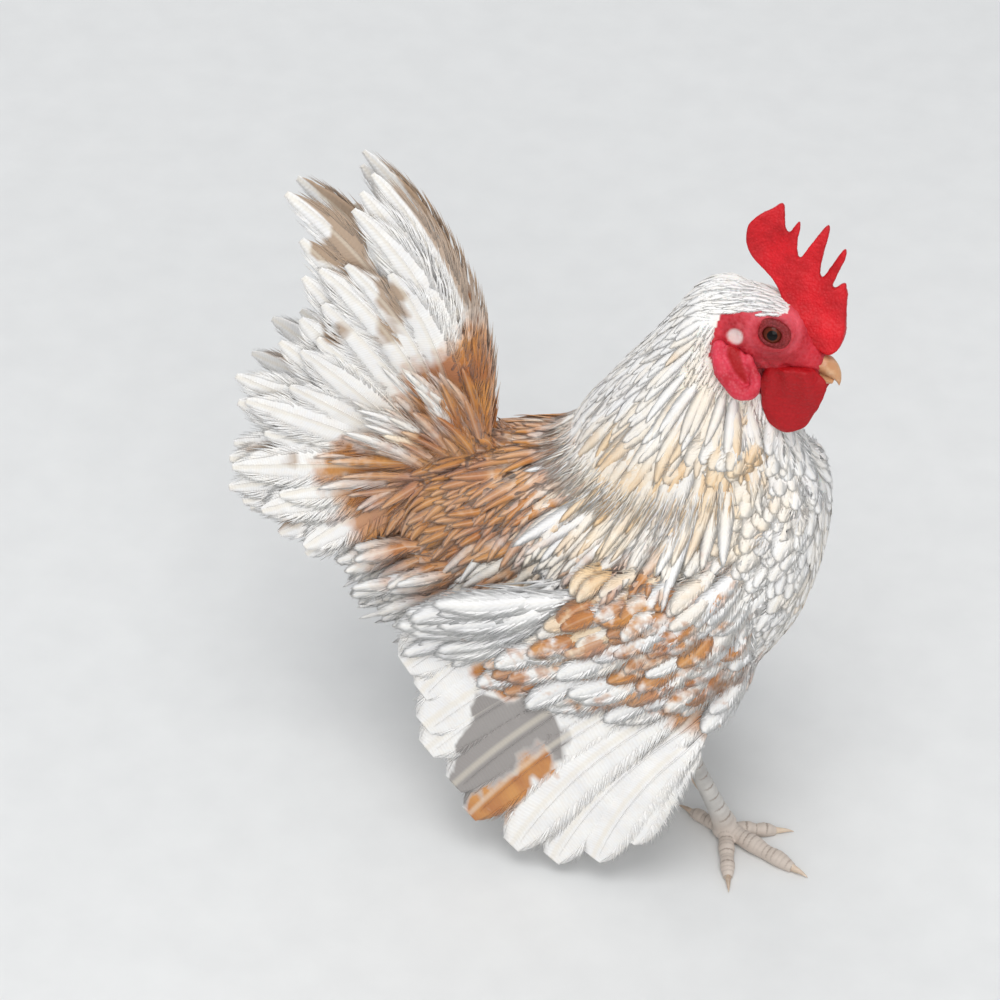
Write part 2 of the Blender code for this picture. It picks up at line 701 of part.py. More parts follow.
def main():
    for old in list(bpy.data.objects):
        bpy.data.objects.remove(old)
    parts = bpy.data.collections.new("serama_rooster")
    bpy.context.scene.collection.children.link(parts)
    draw = random.Random(7)

    torso_shape = loft(body_rings(SADDLE_CUT_X + GAP / 2, BODY[-1, 0]))
    saddle_shape = loft(body_rings(BODY[0, 0], SADDLE_CUT_X - GAP / 2))
    neck = neck_shape()
    head_shape = on_head(head_loft(HEAD))
    beaks = [on_head(head_loft(UPPER_BEAK, 10, 1.9)), on_head(head_loft(LOWER_BEAK, 10, 1.9))]
    bows = {side: wing_bow(side) for side in (-1, 1)}
    tail_cores = {side: ball(sided(TAIL_CORE_CENTRE, side), TAIL_CORE_HALF, 18, 10, TAIL_CORE_TILT) for side in (-1, 1)}
    over = ground_of([torso_shape, saddle_shape, neck, *tail_cores.values(), *bows.values()])
    lobes = {side: lobe_shapes(side) for side in (-1, 1)}
    wattles = {side: wattle_shape(side) for side in (-1, 1)}

    build("torso", torso_shape, "white_feather", parts)

    saddle = build("saddle", saddle_shape, "buff_feather", parts)
    join_pieces(saddle, saddle_vanes(over, draw))
    clear_of(saddle, [torso_shape, *bows.values()])

    hackle = build("neck", neck, "white_feather", parts)
    join_pieces(hackle, hackle_vanes(over, draw))
    clear_of(hackle, [torso_shape, saddle_shape, head_shape, *bows.values(), *[lobes[s][0] for s in (-1, 1)], *wattles.values()])

    head = build("head", head_shape, "red_skin", parts)
    join_pieces(head, [lid_shape(side) for side in (-1, 1)])
    clear_of(head, [*beaks, *[eye_ball(side) for side in (-1, 1)]])

    upper = build("beak_upper", beaks[0], "beak_horn", parts)
    nostrils = [on_head(ball(sided(NOSTRIL, side), (1.1, 0.7, 0.55), 8, 6)) for side in (-1, 1)]
    clear_of(upper, nostrils, 0)
    build("beak_lower", beaks[1], "beak_horn", parts)

    comb = comb_object(parts)
    clear_of(comb, [head_shape, *beaks])

    for word, side in (("right", -1), ("left", 1)):
        build(f"eye_{word}", eye_ball(side), "eye", parts)
        wattle = build(f"wattle_{word}", wattles[side], "red_skin", parts)
        clear_of(wattle, [head_shape, *beaks])
        whole, hollow = lobes[side]
        lobe = build(f"earlobe_{word}", whole, "red_skin", parts)
        clear_of(lobe, [hollow], 0)
        clear_of(lobe, [head_shape, wattles[side]])

        wing = build(f"wing_{word}", bows[side], "white_feather", parts)
        join_pieces(wing, flight_vanes(side) + covert_vanes(side))
        leg = LEGS[word]
        clear_of(wing, [torso_shape, saddle_shape, thigh_shape(leg)])

        tail = build(f"tail_{word}", tail_cores[side], "white_feather", parts)
        join_pieces(tail, tail_vanes(side))
        clear_of(tail, [saddle_shape])

        thigh = build(f"thigh_{word}", thigh_shape(leg), "white_feather", parts)
        clear_of(thigh, [torso_shape])
        build(f"shank_{word}", shank_shape(leg), "leg_scale", parts)
        spur = build(f"spur_{word}", spur_shape(leg), "claw_horn", parts)
        clear_of(spur, [shank_shape(leg)])
        foot_object(f"foot_{word}", leg, parts)
        for toe in TOES:
            build(f"claw_{word}_{toe}", claw_shape(leg, toe), "claw_horn", parts)

    bird = bpy.data.objects.new("serama_rooster_stance", None)
    bird.location.x = BODY_ZERO_X * MM
    parts.objects.link(bird)
    for obj in parts.objects:
        if obj is not bird:
            obj.parent = bird
            obj.data.shade_smooth()
            obj.data.set_sharp_from_angle(angle=SHARP_ANGLE)


main()
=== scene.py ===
"""Dresses a serama rooster's solids: one skin, feathers in tiers, comb, wattles, eyes, beak and scaled feet.

Shapes are worked out in millimetres in the bird's own frame, which faces +X with its right side at -Y
and the floor at z = 0, and are moved into the row's frame in metres when a piece is made.
"""

import itertools
import math
import random

import bmesh
import bpy
import numpy as np
from bpy.props import FloatProperty, FloatVectorProperty, IntProperty, PointerProperty
from mathutils import Euler, Matrix, Vector, noise
from mathutils.bvhtree import BVHTree


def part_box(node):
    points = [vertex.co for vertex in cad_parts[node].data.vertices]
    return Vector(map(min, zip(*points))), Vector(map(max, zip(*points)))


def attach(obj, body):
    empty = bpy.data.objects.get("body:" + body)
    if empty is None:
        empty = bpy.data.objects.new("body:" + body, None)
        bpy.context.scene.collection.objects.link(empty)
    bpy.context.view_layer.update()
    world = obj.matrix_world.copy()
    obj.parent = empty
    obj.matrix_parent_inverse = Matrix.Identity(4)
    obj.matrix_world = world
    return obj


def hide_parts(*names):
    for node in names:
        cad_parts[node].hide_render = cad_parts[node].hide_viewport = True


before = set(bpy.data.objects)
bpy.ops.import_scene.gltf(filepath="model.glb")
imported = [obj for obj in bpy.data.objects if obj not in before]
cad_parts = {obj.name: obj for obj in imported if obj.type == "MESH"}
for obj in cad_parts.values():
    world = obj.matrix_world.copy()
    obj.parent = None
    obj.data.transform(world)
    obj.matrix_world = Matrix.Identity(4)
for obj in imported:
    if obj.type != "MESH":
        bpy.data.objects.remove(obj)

bl_info = {
    "name": "Serama Rooster",
    "version": (1, 0, 0),
    "blender": (4, 5, 0),
    "location": "3D View > Sidebar > Rooster",
    "description": "Skin, feathers, comb, eyes and scaled feet over the solids of a serama rooster",
    "category": "Object",
}

MM = 0.001
SIDES = {"right": -1, "left": 1}
# The front of the torso's solid, from which the bird's own zero is found in the row's frame
BREAST_X = 44.3
BODY_ZERO_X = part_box("torso")[1].x / MM - BREAST_X

# Body, seen from the side: x, lowest z, highest z, half width
BODY = np.array([
    (-87, 96, 110, 4),
    (-83, 87, 120, 15),
    (-73, 77, 130, 23),
    (-58, 68, 137, 29),
    (-40, 61, 142, 34),
    (-18, 56, 146, 37),
    (4, 58, 149, 38),
    (22, 67, 152, 35),
    (34, 83, 149, 28),
    (41, 100, 143, 19),
    (BREAST_X, 117, 133, 7),
], float)
# Neck: z, back x, front x, half width, middle y
NECK = np.array([
    (132, -38, 38, 25, 0),
    (151, -36, 36, 24, 0),
    (165, -27, 30, 20, 0),
    (176, -19, 25, 16.5, 0),
    (186, -12, 21, 13.5, 0.3),
    (195, -6, 19, 11.5, 0.8),
    (202, -1.5, 18, 9, 1.6),
    (206, 2.5, 16.5, 6.5, 2.2),
    (208.5, 7, 13, 3, 2.6),
], float)
# How far the skin lies under the feathers' outside
COAT_DEPTH, HACKLE_DEPTH, BOW_DEPTH, TAIL_DEPTH = 1.8, 0.9, Vector((2.6, 2.2, 2.6)), Vector((1, 1, 1))
# Where the neck's own feathers start
NECK_FOOT = 150

# The head's own frame: zero between the eyes, x along the beak
HEAD_PLACE = Vector((24.5, 0, 192.8))
HEAD_YAW, HEAD_PITCH, HEAD_ROLL = -4.0, 14.0, -16.0
HEAD = np.array([  # x, lowest z, highest z, half width
    (-19, -7, 5, 5),
    (-16, -10, 9, 8.5),
    (-10, -12, 11.5, 10.6),
    (-2, -12, 11.5, 10.8),
    (5, -11, 9.5, 9.2),
    (11, -10, 4.5, 6.8),
    (15, -9.4, 1.0, 5.2),
    (17, -9, -0.6, 4.4),
], float)
UPPER_BEAK = np.array([
    (12.6, -6.4, -0.4, 4.5),
    (16.5, -6.5, -0.6, 4.1),
    (19.6, -6.8, -1.3, 3.2),
    (21.8, -7.2, -3.0, 2.1),
    (23.1, -7.9, -4.9, 1.2),
    (23.8, -8.7, -6.9, 0.5),
], float)
LOWER_BEAK = np.array([
    (12.6, -9.6, -5.8, 3.9),
    (16.5, -9.6, -6.0, 3.3),
    (19.6, -9.2, -6.5, 2.3),
    (21.7, -8.6, -7.1, 1.1),
], float)
NOSTRIL, NOSTRIL_HALF = Vector((16.2, 3.7, -2.2)), Vector((1.3, 1.0, 0.6))
EYE = Vector((0, 7.6, 3))
EYE_RADIUS, IRIS_RADIUS, PUPIL_RADIUS = 4.0, 3.1, 1.6
EAR, EAR_RADIUS = Vector((-9.9, 9.6, -1.8)), 2.3
# The comb's outline, x and height: its spikes from back to front, its front edge down, its back edge down
COMB_TOP = [
    (-11.7, 38.1), (-10.2, 36.6), (-8.9, 33.4), (-7.3, 31.0), (-6.2, 31.6), (-5.6, 34.0), (-4.8, 35.5),
    (-3.9, 33.6), (-3.3, 29.5), (-1.6, 24.8), (-0.8, 24.2), (-0.2, 26.6), (1.2, 31.5), (2.6, 36.0),
    (3.6, 37.0), (4.5, 34.8), (5.0, 29.5), (5.7, 24.0), (6.9, 21.2), (7.8, 22.6), (9.0, 28.0), (10.0, 32.2),
    (10.9, 32.9), (11.6, 30.2), (11.2, 24.5), (10.9, 20.6), (11.8, 19.8), (13.3, 21.9), (14.4, 22.5),
    (15.2, 20.8),
]
COMB_FRONT = [(16.1, 19.2), (17.8, 13.9), (19.5, 8.6), (19.9, 4.8), (18.8, 1.4), (15.5, 0.2), (7.0, 3.0)]
COMB_BACK = [
    (-13.9, 35.4), (-15.6, 34.0), (-17.3, 31.7), (-18.5, 28.6), (-17.8, 24.3), (-15.6, 20.8), (-12.5, 18.5),
    (-8.9, 16.9), (-5.7, 15.2), (-2.0, 11.6), (1.0, 7.0),
]
COMB_VOXEL, LOBE_VOXEL, LID_VOXEL, LEG_VOXEL = 0.42, 0.42, 0.22, 0.36
# Wattle: drop below its root, how far forward its middle lies, half its depth, half its thickness
WATTLE_ROOT = Vector((7, 5.4, -9))
WATTLE = np.array([
    (-3.0, 3.2, 6.5, 2.5),
    (2.0, 3.1, 9.8, 2.3),
    (8.7, 2.8, 9.1, 1.9),
    (13.2, 2.5, 7.8, 1.8),
    (17.2, 2.2, 5.9, 1.5),
    (19.5, 2.1, 3.6, 1.0),
    (20.5, 2.1, 1.0, 0.4),
], float)
# The earlobe's rolled rim round its fold, in the head's frame, with its thickness, and the lobe inside it
LOBE_RIM = [
    (-13.8, 10.6, -4.6, 1.5),
    (-12.4, 11.4, -9.6, 2.3),
    (-8.4, 12.4, -14.0, 2.5),
    (-3.9, 13.0, -16.5, 2.4),
    (-0.7, 13.2, -16.6, 2.2),
    (1.0, 12.8, -14.2, 1.9),
    (0.0, 12.0, -11.2, 1.6),
    (-2.2, 11.4, -8.4, 1.4),
    (-5.0, 10.6, -5.8, 1.1),
]
LOBE_CENTRE, LOBE_HALF, LOBE_TILT = Vector((-6.4, 10.6, -11.0)), Vector((7.5, 2.2, 4.6)), 45
# Eyelids: radius of each ring round the eye, its thickness, and how far out it stands
LID_RINGS = [(3.4, 0.75, 2.8), (4.5, 0.85, 2.0)]

# Wings, seen from the side: place from the innermost feather (0) to the outermost (1), root x and z, and
# tip x and z
WING_LINE = np.array([
    (0.00, -34, 106, -78, 74),
    (0.22, -18, 102, -75, 52),
    (0.45, 2, 96, -66, 30),
    (0.62, 15, 88, -52, 14),
    (0.80, 17, 74, -30, 8.5),
    (1.00, 14, 60, -8, 18),
], float)
WING_BOW_CENTRE, WING_BOW_HALF = Vector((-5, 34.5, 97)), Vector((35, 7.6, 31))
# The farthest forward that a covert may start, and how far the long feathers lean over one another
WING_FRONT, SHINGLE = 27, math.radians(8)
# Soft feathers over the wing's rear: place from the upper (0) to the lower (1), root x and z, tip x and z,
# and rise
TERTIALS = np.array([
    (0, -18, 114, -80, 100, 3.6),
    (0.4, -22, 111, -86, 92, 2.8),
    (0.7, -26, 109, -85, 84, 2.0),
    (1, -30, 107, -81, 76, 1.2),
])
# Rows of wing coverts: height of their tips, first and last x, count, length, width, rise over the flights
COVERT_ROWS = [
    (69, -60, 15, 17, 34, 12.5, 1.2),
    (76, -57, 17, 19, 30, 11.5, 1.8),
    (83, -52, 18, 20, 27, 11, 2.4),
    (90, -46, 19, 20, 24, 10.5, 2.9),
    (97, -40, 20, 19, 22, 10, 3.4),
    (104, -34, 20, 18, 20, 9.5, 3.8),
    (111, -30, 18, 16, 18, 9, 4.0),
]

# Tail, from the front sickle down: degrees above the line straight back, length, width, degrees outwards,
# bend along its length, start from the tail's root (x, out, z), and how brown the vane's one side is
TAIL_ROOT = Vector((-76, 2.6, 125))
TAIL_CORE_CENTRE, TAIL_CORE_HALF, TAIL_CORE_TILT = Vector((-75.5, 4.5, 127)), Vector((20, 4.3, 9.5)), -44
TAIL_FAN = [
    (89, 108, 14, 1.5, 46, 11, 0.6, 7, 0.6),
    (86, 103, 17, 2.5, 41, 7, 1.0, 6, 0.1),
    (82, 86, 17, 3.0, 24, 4, 1.0, 5, 0.0),
    (79, 107, 17, 3.5, 50, 2, 1.0, 5, 0.8),
    (72, 92, 18, 4.5, 32, 1, 1.0, 4, 0.3),
    (64, 80, 18, 5.0, 20, 0, 1.5, 2, 0.1),
    (55, 70, 18, 6.0, 14, -1, 2.0, 1, 0.3),
    (45, 66, 18, 7.0, 10, -2, 2.0, 0, 0.0),
    (32, 69, 18, 8.5, 10, -2, 2.0, 0, 0.2),
    (20, 68, 18, 9.5, 6, -2, 2.0, 0, 0.5),
    (10, 64, 18, 10, 5, -2, 2.0, 0, 0.0),
    (4, 67, 18, 11, 4, -2, 2.0, 0, 0.4),
    (-5, 67, 18, 12, 4, -2, 2.0, 0, 0.1),
    (-12, 66, 18, 12, 4, -2, 2.0, 0, 0.7),
    (-19, 63, 18, 12, 4, -2, 2.0, 0, 0.2),
    (-28, 58, 17, 12, 4, -2, 2.0, 0, 0.1),
    (-37, 55, 16, 12, 4, -2, 2.0, 0, 0.3),
    (-48, 49, 15, 12, 4, -1, 2.0, 0, 0.0),
]

# Legs: hip, hock, end of the shank, and how far the foot turns outwards
LEGS = {
    "right": dict(side=-1, hip=(10, 21, 84), hock=(5, 20, 43), ankle=(19.7, 16, 5), turn=24),
    "left": dict(side=1, hip=(-14, 21, 84), hock=(-43, 20, 45), ankle=(-33, 17, 5), turn=16),
}
THIGH_RADII = [16, 17, 13.5, 8.5, 5.2]
SHANK_RADIUS = 3.1
TOES = {  # degrees outwards from the middle toe, length, radius at its root
    "middle": (0, 26.5, 2.7),
    "inner": (-42, 16.5, 2.4),
    "outer": (52, 20.5, 2.4),
    "hind": (186, 14.5, 2.2),
}
CLAW_LENGTH, SPUR_LENGTH, SPUR_RADIUS = 6.0, 6.5, 2.3
SCUTE_LENGTH = 2.3

# Markings of each colour: centre (x, y out from the middle, z), reach each way, strength
ORANGE, GOLD, SLATE = 0, 1, 2
# How much of each there is everywhere, and how far the left side's markings are shifted from the right's
LEAST_AMOUNTS, LEFT_SHIFT = (0, 0.14, 0), (3.5, 0, -3.0)
MARKINGS = {
    ORANGE: [
        ((-64, 20, 116), (24, 13, 24), 1.7),
        ((-66, 3, 132), (20, 14, 20), 1.5),
        ((-86, 12, 114), (19, 14, 22), 1.5),
        ((-73, 6, 148), (15, 12, 22), 1.9),
        ((-66, 4, 168), (8, 9, 18), 1.3),
        ((-90, 10, 134), (12, 12, 9), 0.9),
        ((-103, 13, 125), (13, 13, 10), 0.95),
        ((-8, 44, 98), (32, 10, 25), 0.6),
        ((-31, 43, 108), (9, 9, 9), 1.0),
        ((-9, 42, 112), (12, 9, 10), 1.0),
        ((13, 38, 112), (9, 11, 11), 1.0),
        ((-21, 43, 100), (9, 9, 8), 0.8),
        ((7, 43, 99), (12, 10, 9), 0.85),
        ((-13, 44, 81), (15, 10, 8), 1.4),
        ((14, 38, 78), (9, 14, 15), 1.4),
        ((20, 28, 70), (9, 14, 11), 0.9),
        ((-50, 44, 73), (13, 9, 5.5), 1.2),
        ((-32, 47, 48), (3.5, 9, 5), 1.5),
        ((-37, 47, 41.5), (4.5, 9, 5.5), 1.7),
        ((-42, 47, 34), (5, 9, 6), 1.7),
        ((-47, 48, 27), (5, 9, 6), 1.7),
        ((-53, 48, 20), (5.5, 9, 6), 1.7),
        ((35, 16, 98), (12, 14, 14), 0.4),
    ],
    GOLD: [
        ((19, 21, 162), (7, 14, 16), 1.6),
        ((4, 34, 140), (32, 26, 18), 0.95),
        ((-24, 30, 134), (26, 26, 22), 1.3),
        ((6, 18, 178), (16, 18, 24), 0.55),
        ((-72, 12, 140), (26, 16, 26), 0.8),
        ((38, 10, 104), (14, 20, 26), 0.45),
        ((-20, 40, 100), (34, 16, 30), 0.5),
    ],
    SLATE: [
        ((-43, 45, 56), (16, 9, 11), 1.7),
        ((-54, 46, 38), (9, 9, 17), 1.7),
        ((-42, 46, 45), (9, 9, 9), 1.7),
        ((-50, 47, 33), (8, 9, 8), 1.7),
        ((-78, 5, 158), (8, 8, 13), 0.8),
        ((-92, 5, 180), (8, 8, 12), 0.7),
        ((-106, 6, 204), (12, 8, 9), 0.9),
        ((-122, 8, 126), (15, 12, 8), 0.6),
        ((-126, 12, 101), (14, 12, 7), 0.6),
        ((-90, 8, 188), (7, 9, 14), 0.7),
        ((-105, 8, 175), (7, 9, 12), 0.6),
    ],
}


def read_table(table, at):
    """Rows of a table, keyed by its first column, read between them along a smooth curve."""
    keys, values = table[:, 0], table[:, 1:]
    slopes = np.gradient(values, keys, axis=0)
    i = int(np.clip(np.searchsorted(keys, at) - 1, 0, len(keys) - 2))
    span = keys[i + 1] - keys[i]
    t = (at - keys[i]) / span
    return ((1 + 2 * t) * (1 - t) ** 2 * values[i] + t * (1 - t) ** 2 * span * slopes[i]
            + t * t * (3 - 2 * t) * values[i + 1] + t * t * (t - 1) * span * slopes[i + 1])


def read_within(table, at):
    """The same, with places past the table's ends read at its ends."""
    return read_table(table, min(max(at, table[0, 0]), table[-1, 0]))


def step_between(low, high, value):
    """0 below low, 1 above high, and a smooth rise between them."""
    t = np.clip((value - low) / (high - low), 0, 1)
    return t * t * (3 - 2 * t)


def sided(point, side):
    """A place on the right (-1) or left (1) side, from one given for the left."""
    return Vector((point[0], point[1] * side, point[2]))


def side_of(place):
    return math.copysign(1, place.y)


def jitter(draw, amount):
    """A random shift."""
    return Vector([draw.uniform(-amount, amount) for _ in range(3)])


def head_matrix():
    turn = Euler([math.radians(a) for a in (HEAD_ROLL, HEAD_PITCH, HEAD_YAW)]).to_matrix().to_4x4()
    return Matrix.Translation(HEAD_PLACE) @ turn


HEAD_TO_BODY = head_matrix()
BODY_TO_HEAD = HEAD_TO_BODY.inverted()


def markings(points):
    """How orange, golden and slate the plumage is at places on the bird, each from 0 to 1."""
    places = np.array(points, float)
    wobble = np.sin(places[:, [1, 2, 0]] * 0.37) * 2.4 + np.sin(places[:, [2, 0, 1]] * 0.83 + 1.7) * 1.1
    places = places + wobble
    left = places[:, 1] > 0
    places[:, 1] = np.abs(places[:, 1])
    places[left] += LEFT_SHIFT
    amounts = np.zeros((len(places), 3)) + LEAST_AMOUNTS
    for colour_index, patches in MARKINGS.items():
        for centre, reach, strength in patches:
            near = strength * np.exp(-(((places - centre) / reach) ** 2).sum(axis=1))
            amounts[:, colour_index] = np.maximum(amounts[:, colour_index], near)
    return np.clip(amounts, 0, 1)


# Shaders

class Socket:
    """An output of a shader node; arithmetic on it adds Math nodes."""

    def __init__(self, tree, link):
        self.tree = tree
        self.link = link

    def maths(self, operation, *values):
        node = self.tree.nodes.new("ShaderNodeMath")
        node.operation = operation
        for entry, value in zip(node.inputs, values):
            connect(self.tree, entry, value)
        return Socket(self.tree, node.outputs[0])

    def __add__(self, other):
        return self.maths("ADD", self, other)

    __radd__ = __add__

    def __sub__(self, other):
        return self.maths("SUBTRACT", self, other)

    def __rsub__(self, other):
        return self.maths("SUBTRACT", other, self)

    def __mul__(self, other):
        return self.maths("MULTIPLY", self, other)

    __rmul__ = __mul__

    def size(self):
        return self.maths("ABSOLUTE", self)

    def wave(self):
        return self.maths("SINE", self)

    def clamped(self):
        return self.maths("MINIMUM", self.maths("MAXIMUM", self, 0.0), 1.0)

    def between(self, low, high):
        """0 at low, 1 at high."""
        return ((self - low) * (1 / (high - low))).clamped()


def connect(tree, entry, value):
    """Feeds a node's input with another node's output, a number or a colour."""
    if isinstance(value, Socket):
        tree.links.new(value.link, entry)
    elif entry.type == "RGBA":
        entry.default_value = (*value[:3], 1)
    else:
        entry.default_value = value


class Finish:
    """A material that is built from shader nodes round one Principled shader."""

    def __init__(self, name, roughness=0.6, **constants):
        self.material = bpy.data.materials.new(name)
        self.material.use_nodes = True
        self.tree = self.material.node_tree
        self.shader = self.tree.nodes["Principled BSDF"]
        self.set("Roughness", roughness)
        for socket, value in constants.items():
            self.set(socket.replace("_", " "), value)

    def set(self, socket, value):
        connect(self.tree, self.shader.inputs[socket], value)

    def node(self, kind, settings, sockets):
        """A new node's outputs; its settings go in first, then the values or links of its sockets."""
        node = self.tree.nodes.new("ShaderNode" + kind)
        for name, value in settings.items():
            if name == "stops":
                for stop, (position, colour) in zip(self.ramp_stops(node, len(value)), value):
                    stop.position = position
                    stop.color = (*colour, 1)
            else:
                setattr(node, name, value)
        for name, value in sockets.items():
            connect(self.tree, node.inputs[name], value)
        return [Socket(self.tree, output) for output in node.outputs]

    @staticmethod
    def ramp_stops(node, count):
        for i in range(count - len(node.color_ramp.elements)):
            node.color_ramp.elements.new(0.5 + 0.01 * i)
        return node.color_ramp.elements

    def mix(self, factor, first, second):
        return self.node("Mix", {"data_type": "RGBA"}, {0: factor, 6: first, 7: second})[2]

    def place(self):
        return self.node("TexCoord", {}, {})[3]

    def noise(self, scale, detail=2.0):
        return self.node("TexNoise", {}, {"Vector": self.place(), "Scale": scale, "Detail": detail})[0]

    def cells(self, scale):
        return self.node("TexVoronoi", {"feature": "F1"}, {"Vector": self.place(), "Scale": scale})[0]

    def values(self, attribute):
        """The three numbers of a mesh attribute."""
        found = self.node("Attribute", {"attribute_type": "GEOMETRY", "attribute_name": attribute}, {})[1]
        return self.node("SeparateXYZ", {}, {"Vector": found})

    def bump(self, height, strength, distance):
        normal = self.node("Bump", {}, {"Height": height, "Strength": strength, "Distance": distance})[0]
        self.set("Normal", normal)


def plumage(finish, paint, amounts, patchy, dark):
    """White plumage, with broad patches of painted shade in its white, and its orange, golden and dark
    markings.
    """
    orange, gold, slate = amounts
    broad = finish.noise(90.0, 3.0)
    fine = finish.noise(420.0, 2.0)
    # Painted shade: broad noise patches of the white take the cooler white that stands for shade
    white = finish.mix(broad.between(0.35, 0.7), paint.white, paint.white_painted_shade)
    creamy = finish.mix((gold + (fine - 0.5) * 0.4).between(0.1, 0.95), white, paint.cream)
    golden = finish.mix((gold + (broad - 0.5) * 1.1).between(0.55, 1.1), creamy, paint.gold)
    rust = finish.mix(broad.between(0.36, 0.66), paint.orange, paint.rust)
    spots = finish.noise(240.0, 2.0)
    rusty = (orange + (spots - 0.5) * patchy).between(0.3, 0.72)
    greyed = (slate + (broad - 0.5) * patchy * 0.6).between(0.43, 0.57) * (1.0 - rusty)
    return finish.mix(greyed, finish.mix(rusty, golden, rust), dark)


def feather_finish(name, paint, barbs, slant, patchy=0.5, shaft=0.3, dark=None):
    """Feathers with so many barbs along them, at a slant, and a shaft that shows as strongly as it is given.

    A feather's own marks and lie come as attributes."""
    finish = Finish(name, 0.72, Sheen_Weight=0.25, Specular_IOR_Level=0.3)
    amounts = finish.values("marks")
    along, across, draw = finish.values("lie")
    colour = plumage(finish, paint, amounts, patchy, dark or paint.slate)
    edge = across.size()
    colour = finish.mix((1.0 - edge.between(0.03, 0.1)) * shaft, colour, paint.shaft)
    # Painted shade: each feather at random takes a little of the cooler white that stands for shade
    colour = finish.mix((draw * 0.16).clamped(), colour, paint.white_painted_shade)
    ridges = ((along * barbs - edge * slant) * math.tau).wave()
    # Painted shade: stripes along the barbs darken the hollows between them
    colour = finish.mix(ridges.between(-0.2, 1.0) * 0.06, colour, paint.painted_hollow_shade)
    finish.set("Base Color", colour)
    finish.set("Roughness", 0.66 + ridges * 0.06)
    finish.bump(ridges + finish.noise(900.0) * 0.8, 0.16, 0.0002)
    return finish.material


FLESH = {"Subsurface_Scale": 0.002, "Specular_IOR_Level": 0.3}


def skin_finish(paint, flesh):
    """Bare red face, with painted shade below and round the eye, and the plumage's own colours where feathers
    cover the skin, darkened a little there as painted shade.
    """
    finish = Finish("rooster_skin", 0.5, Subsurface_Weight=0.12, **FLESH)
    bare, dim, pale = finish.values("bare")
    under = plumage(finish, paint, finish.values("marks"), 0.5, paint.slate)
    # Painted shade: the skin under the feathers is darkened by a tenth towards the hollows' shade colour
    under = finish.mix(0.1, under, paint.painted_hollow_shade)
    grain = finish.cells(900.0)
    blotch = finish.noise(160.0, 3.0)
    red = finish.mix(blotch.between(0.3, 0.75), flesh.face, flesh.face_deep_and_eye_shade)
    red = finish.mix((grain * 1.3).between(0.25, 1.0) * 0.2, red, flesh.face_light)
    # dim is painted shade, below the eye and round its socket
    red = finish.mix(dim, finish.mix(pale, red, flesh.face_light), flesh.face_deep_and_eye_shade)
    finish.set("Base Color", finish.mix(bare, under, red))
    finish.set("Roughness", 0.62 - bare * 0.16)
    finish.bump((1.0 - grain) * bare + finish.noise(1500.0) * 0.3, 0.5, 0.0003)
    return finish.material


def red_finish(name, colour, deep, light, pebble, strength, folds=False):
    """Red flesh: pebbled, paler on its raised grains, and with painted shade where a mesh attribute marks
    folds.
    """
    finish = Finish(name, 0.5, Subsurface_Weight=0.1, **FLESH)
    grain = finish.cells(pebble)
    blotch = finish.noise(120.0, 3.0)
    tone = finish.mix(blotch.between(0.3, 0.75), colour, deep)
    tone = finish.mix((1.0 - grain * 1.5).clamped() * 0.2, tone, light)
    # Painted shade: where the mesh marks a fold, the flesh takes the deep colour
    if folds:
        tone = finish.mix(finish.values("fold")[0], tone, deep)
    finish.set("Base Color", tone)
    finish.set("Roughness", 0.42 + blotch * 0.2)
    finish.bump((1.0 - grain) + blotch * 0.5, strength, 0.0004)
    return finish.material


PUPIL_BLACK, EYE_EDGE_BLACK = (0.004, 0.003, 0.003), (0.02, 0.007, 0.005)


def eye_finish(head, word):
    """Pupil, ringed iris and a dark edge, measured from the eye's own axis."""
    finish = Finish(f"rooster_eye_{word}", 0.14, Coat_Weight=0.08, Coat_Roughness=0.05,
                    Specular_IOR_Level=0.12)
    centre = in_row([HEAD_TO_BODY @ sided(EYE, SIDES[word])])[0]
    axis = HEAD_TO_BODY.to_3x3() @ sided((0.05, 1, 0.02), SIDES[word]).normalized()
    offset = finish.node("VectorMath", {"operation": "SUBTRACT"}, {0: finish.place(), 1: tuple(centre)})[0]
    across = finish.node("VectorMath", {"operation": "CROSS_PRODUCT"}, {0: offset, 1: tuple(axis)})[0]
    radius = finish.node("VectorMath", {"operation": "LENGTH"}, {0: across})[1] * (1 / MM)
    flecks = finish.noise(2600.0, 2.0)
    iris = finish.mix((radius + flecks * 1.2).between(1.9, 3.6), head.iris, head.iris_edge)
    pupil = 1.0 - radius.between(PUPIL_RADIUS - 0.12, PUPIL_RADIUS + 0.12)
    edge = radius.between(IRIS_RADIUS - 0.25, IRIS_RADIUS + 0.15)
    colour = finish.mix(edge, finish.mix(pupil, iris, PUPIL_BLACK), EYE_EDGE_BLACK)
    finish.set("Base Color", colour)
    return finish.material


def horn_finish(name, colour, dark, light, grain_scale):
    """Beak and claw horn: fine growth lines, with darker clouds and paler streaks."""
    finish = Finish(name, 0.38, Coat_Weight=0.15, Coat_Roughness=0.2, Subsurface_Weight=0.08,
                    Subsurface_Scale=0.001)
    streak = finish.noise(grain_scale, 4.0)
    cloud = finish.noise(130.0, 2.0)
    tone = finish.mix(cloud.between(0.35, 0.7), colour, dark)
    tone = finish.mix(streak.between(0.5, 0.85) * 0.5, tone, light)
    finish.set("Base Color", tone)
    finish.set("Roughness", 0.32 + streak * 0.2)
    finish.bump(streak, 0.3, 0.00015)
    return finish.material


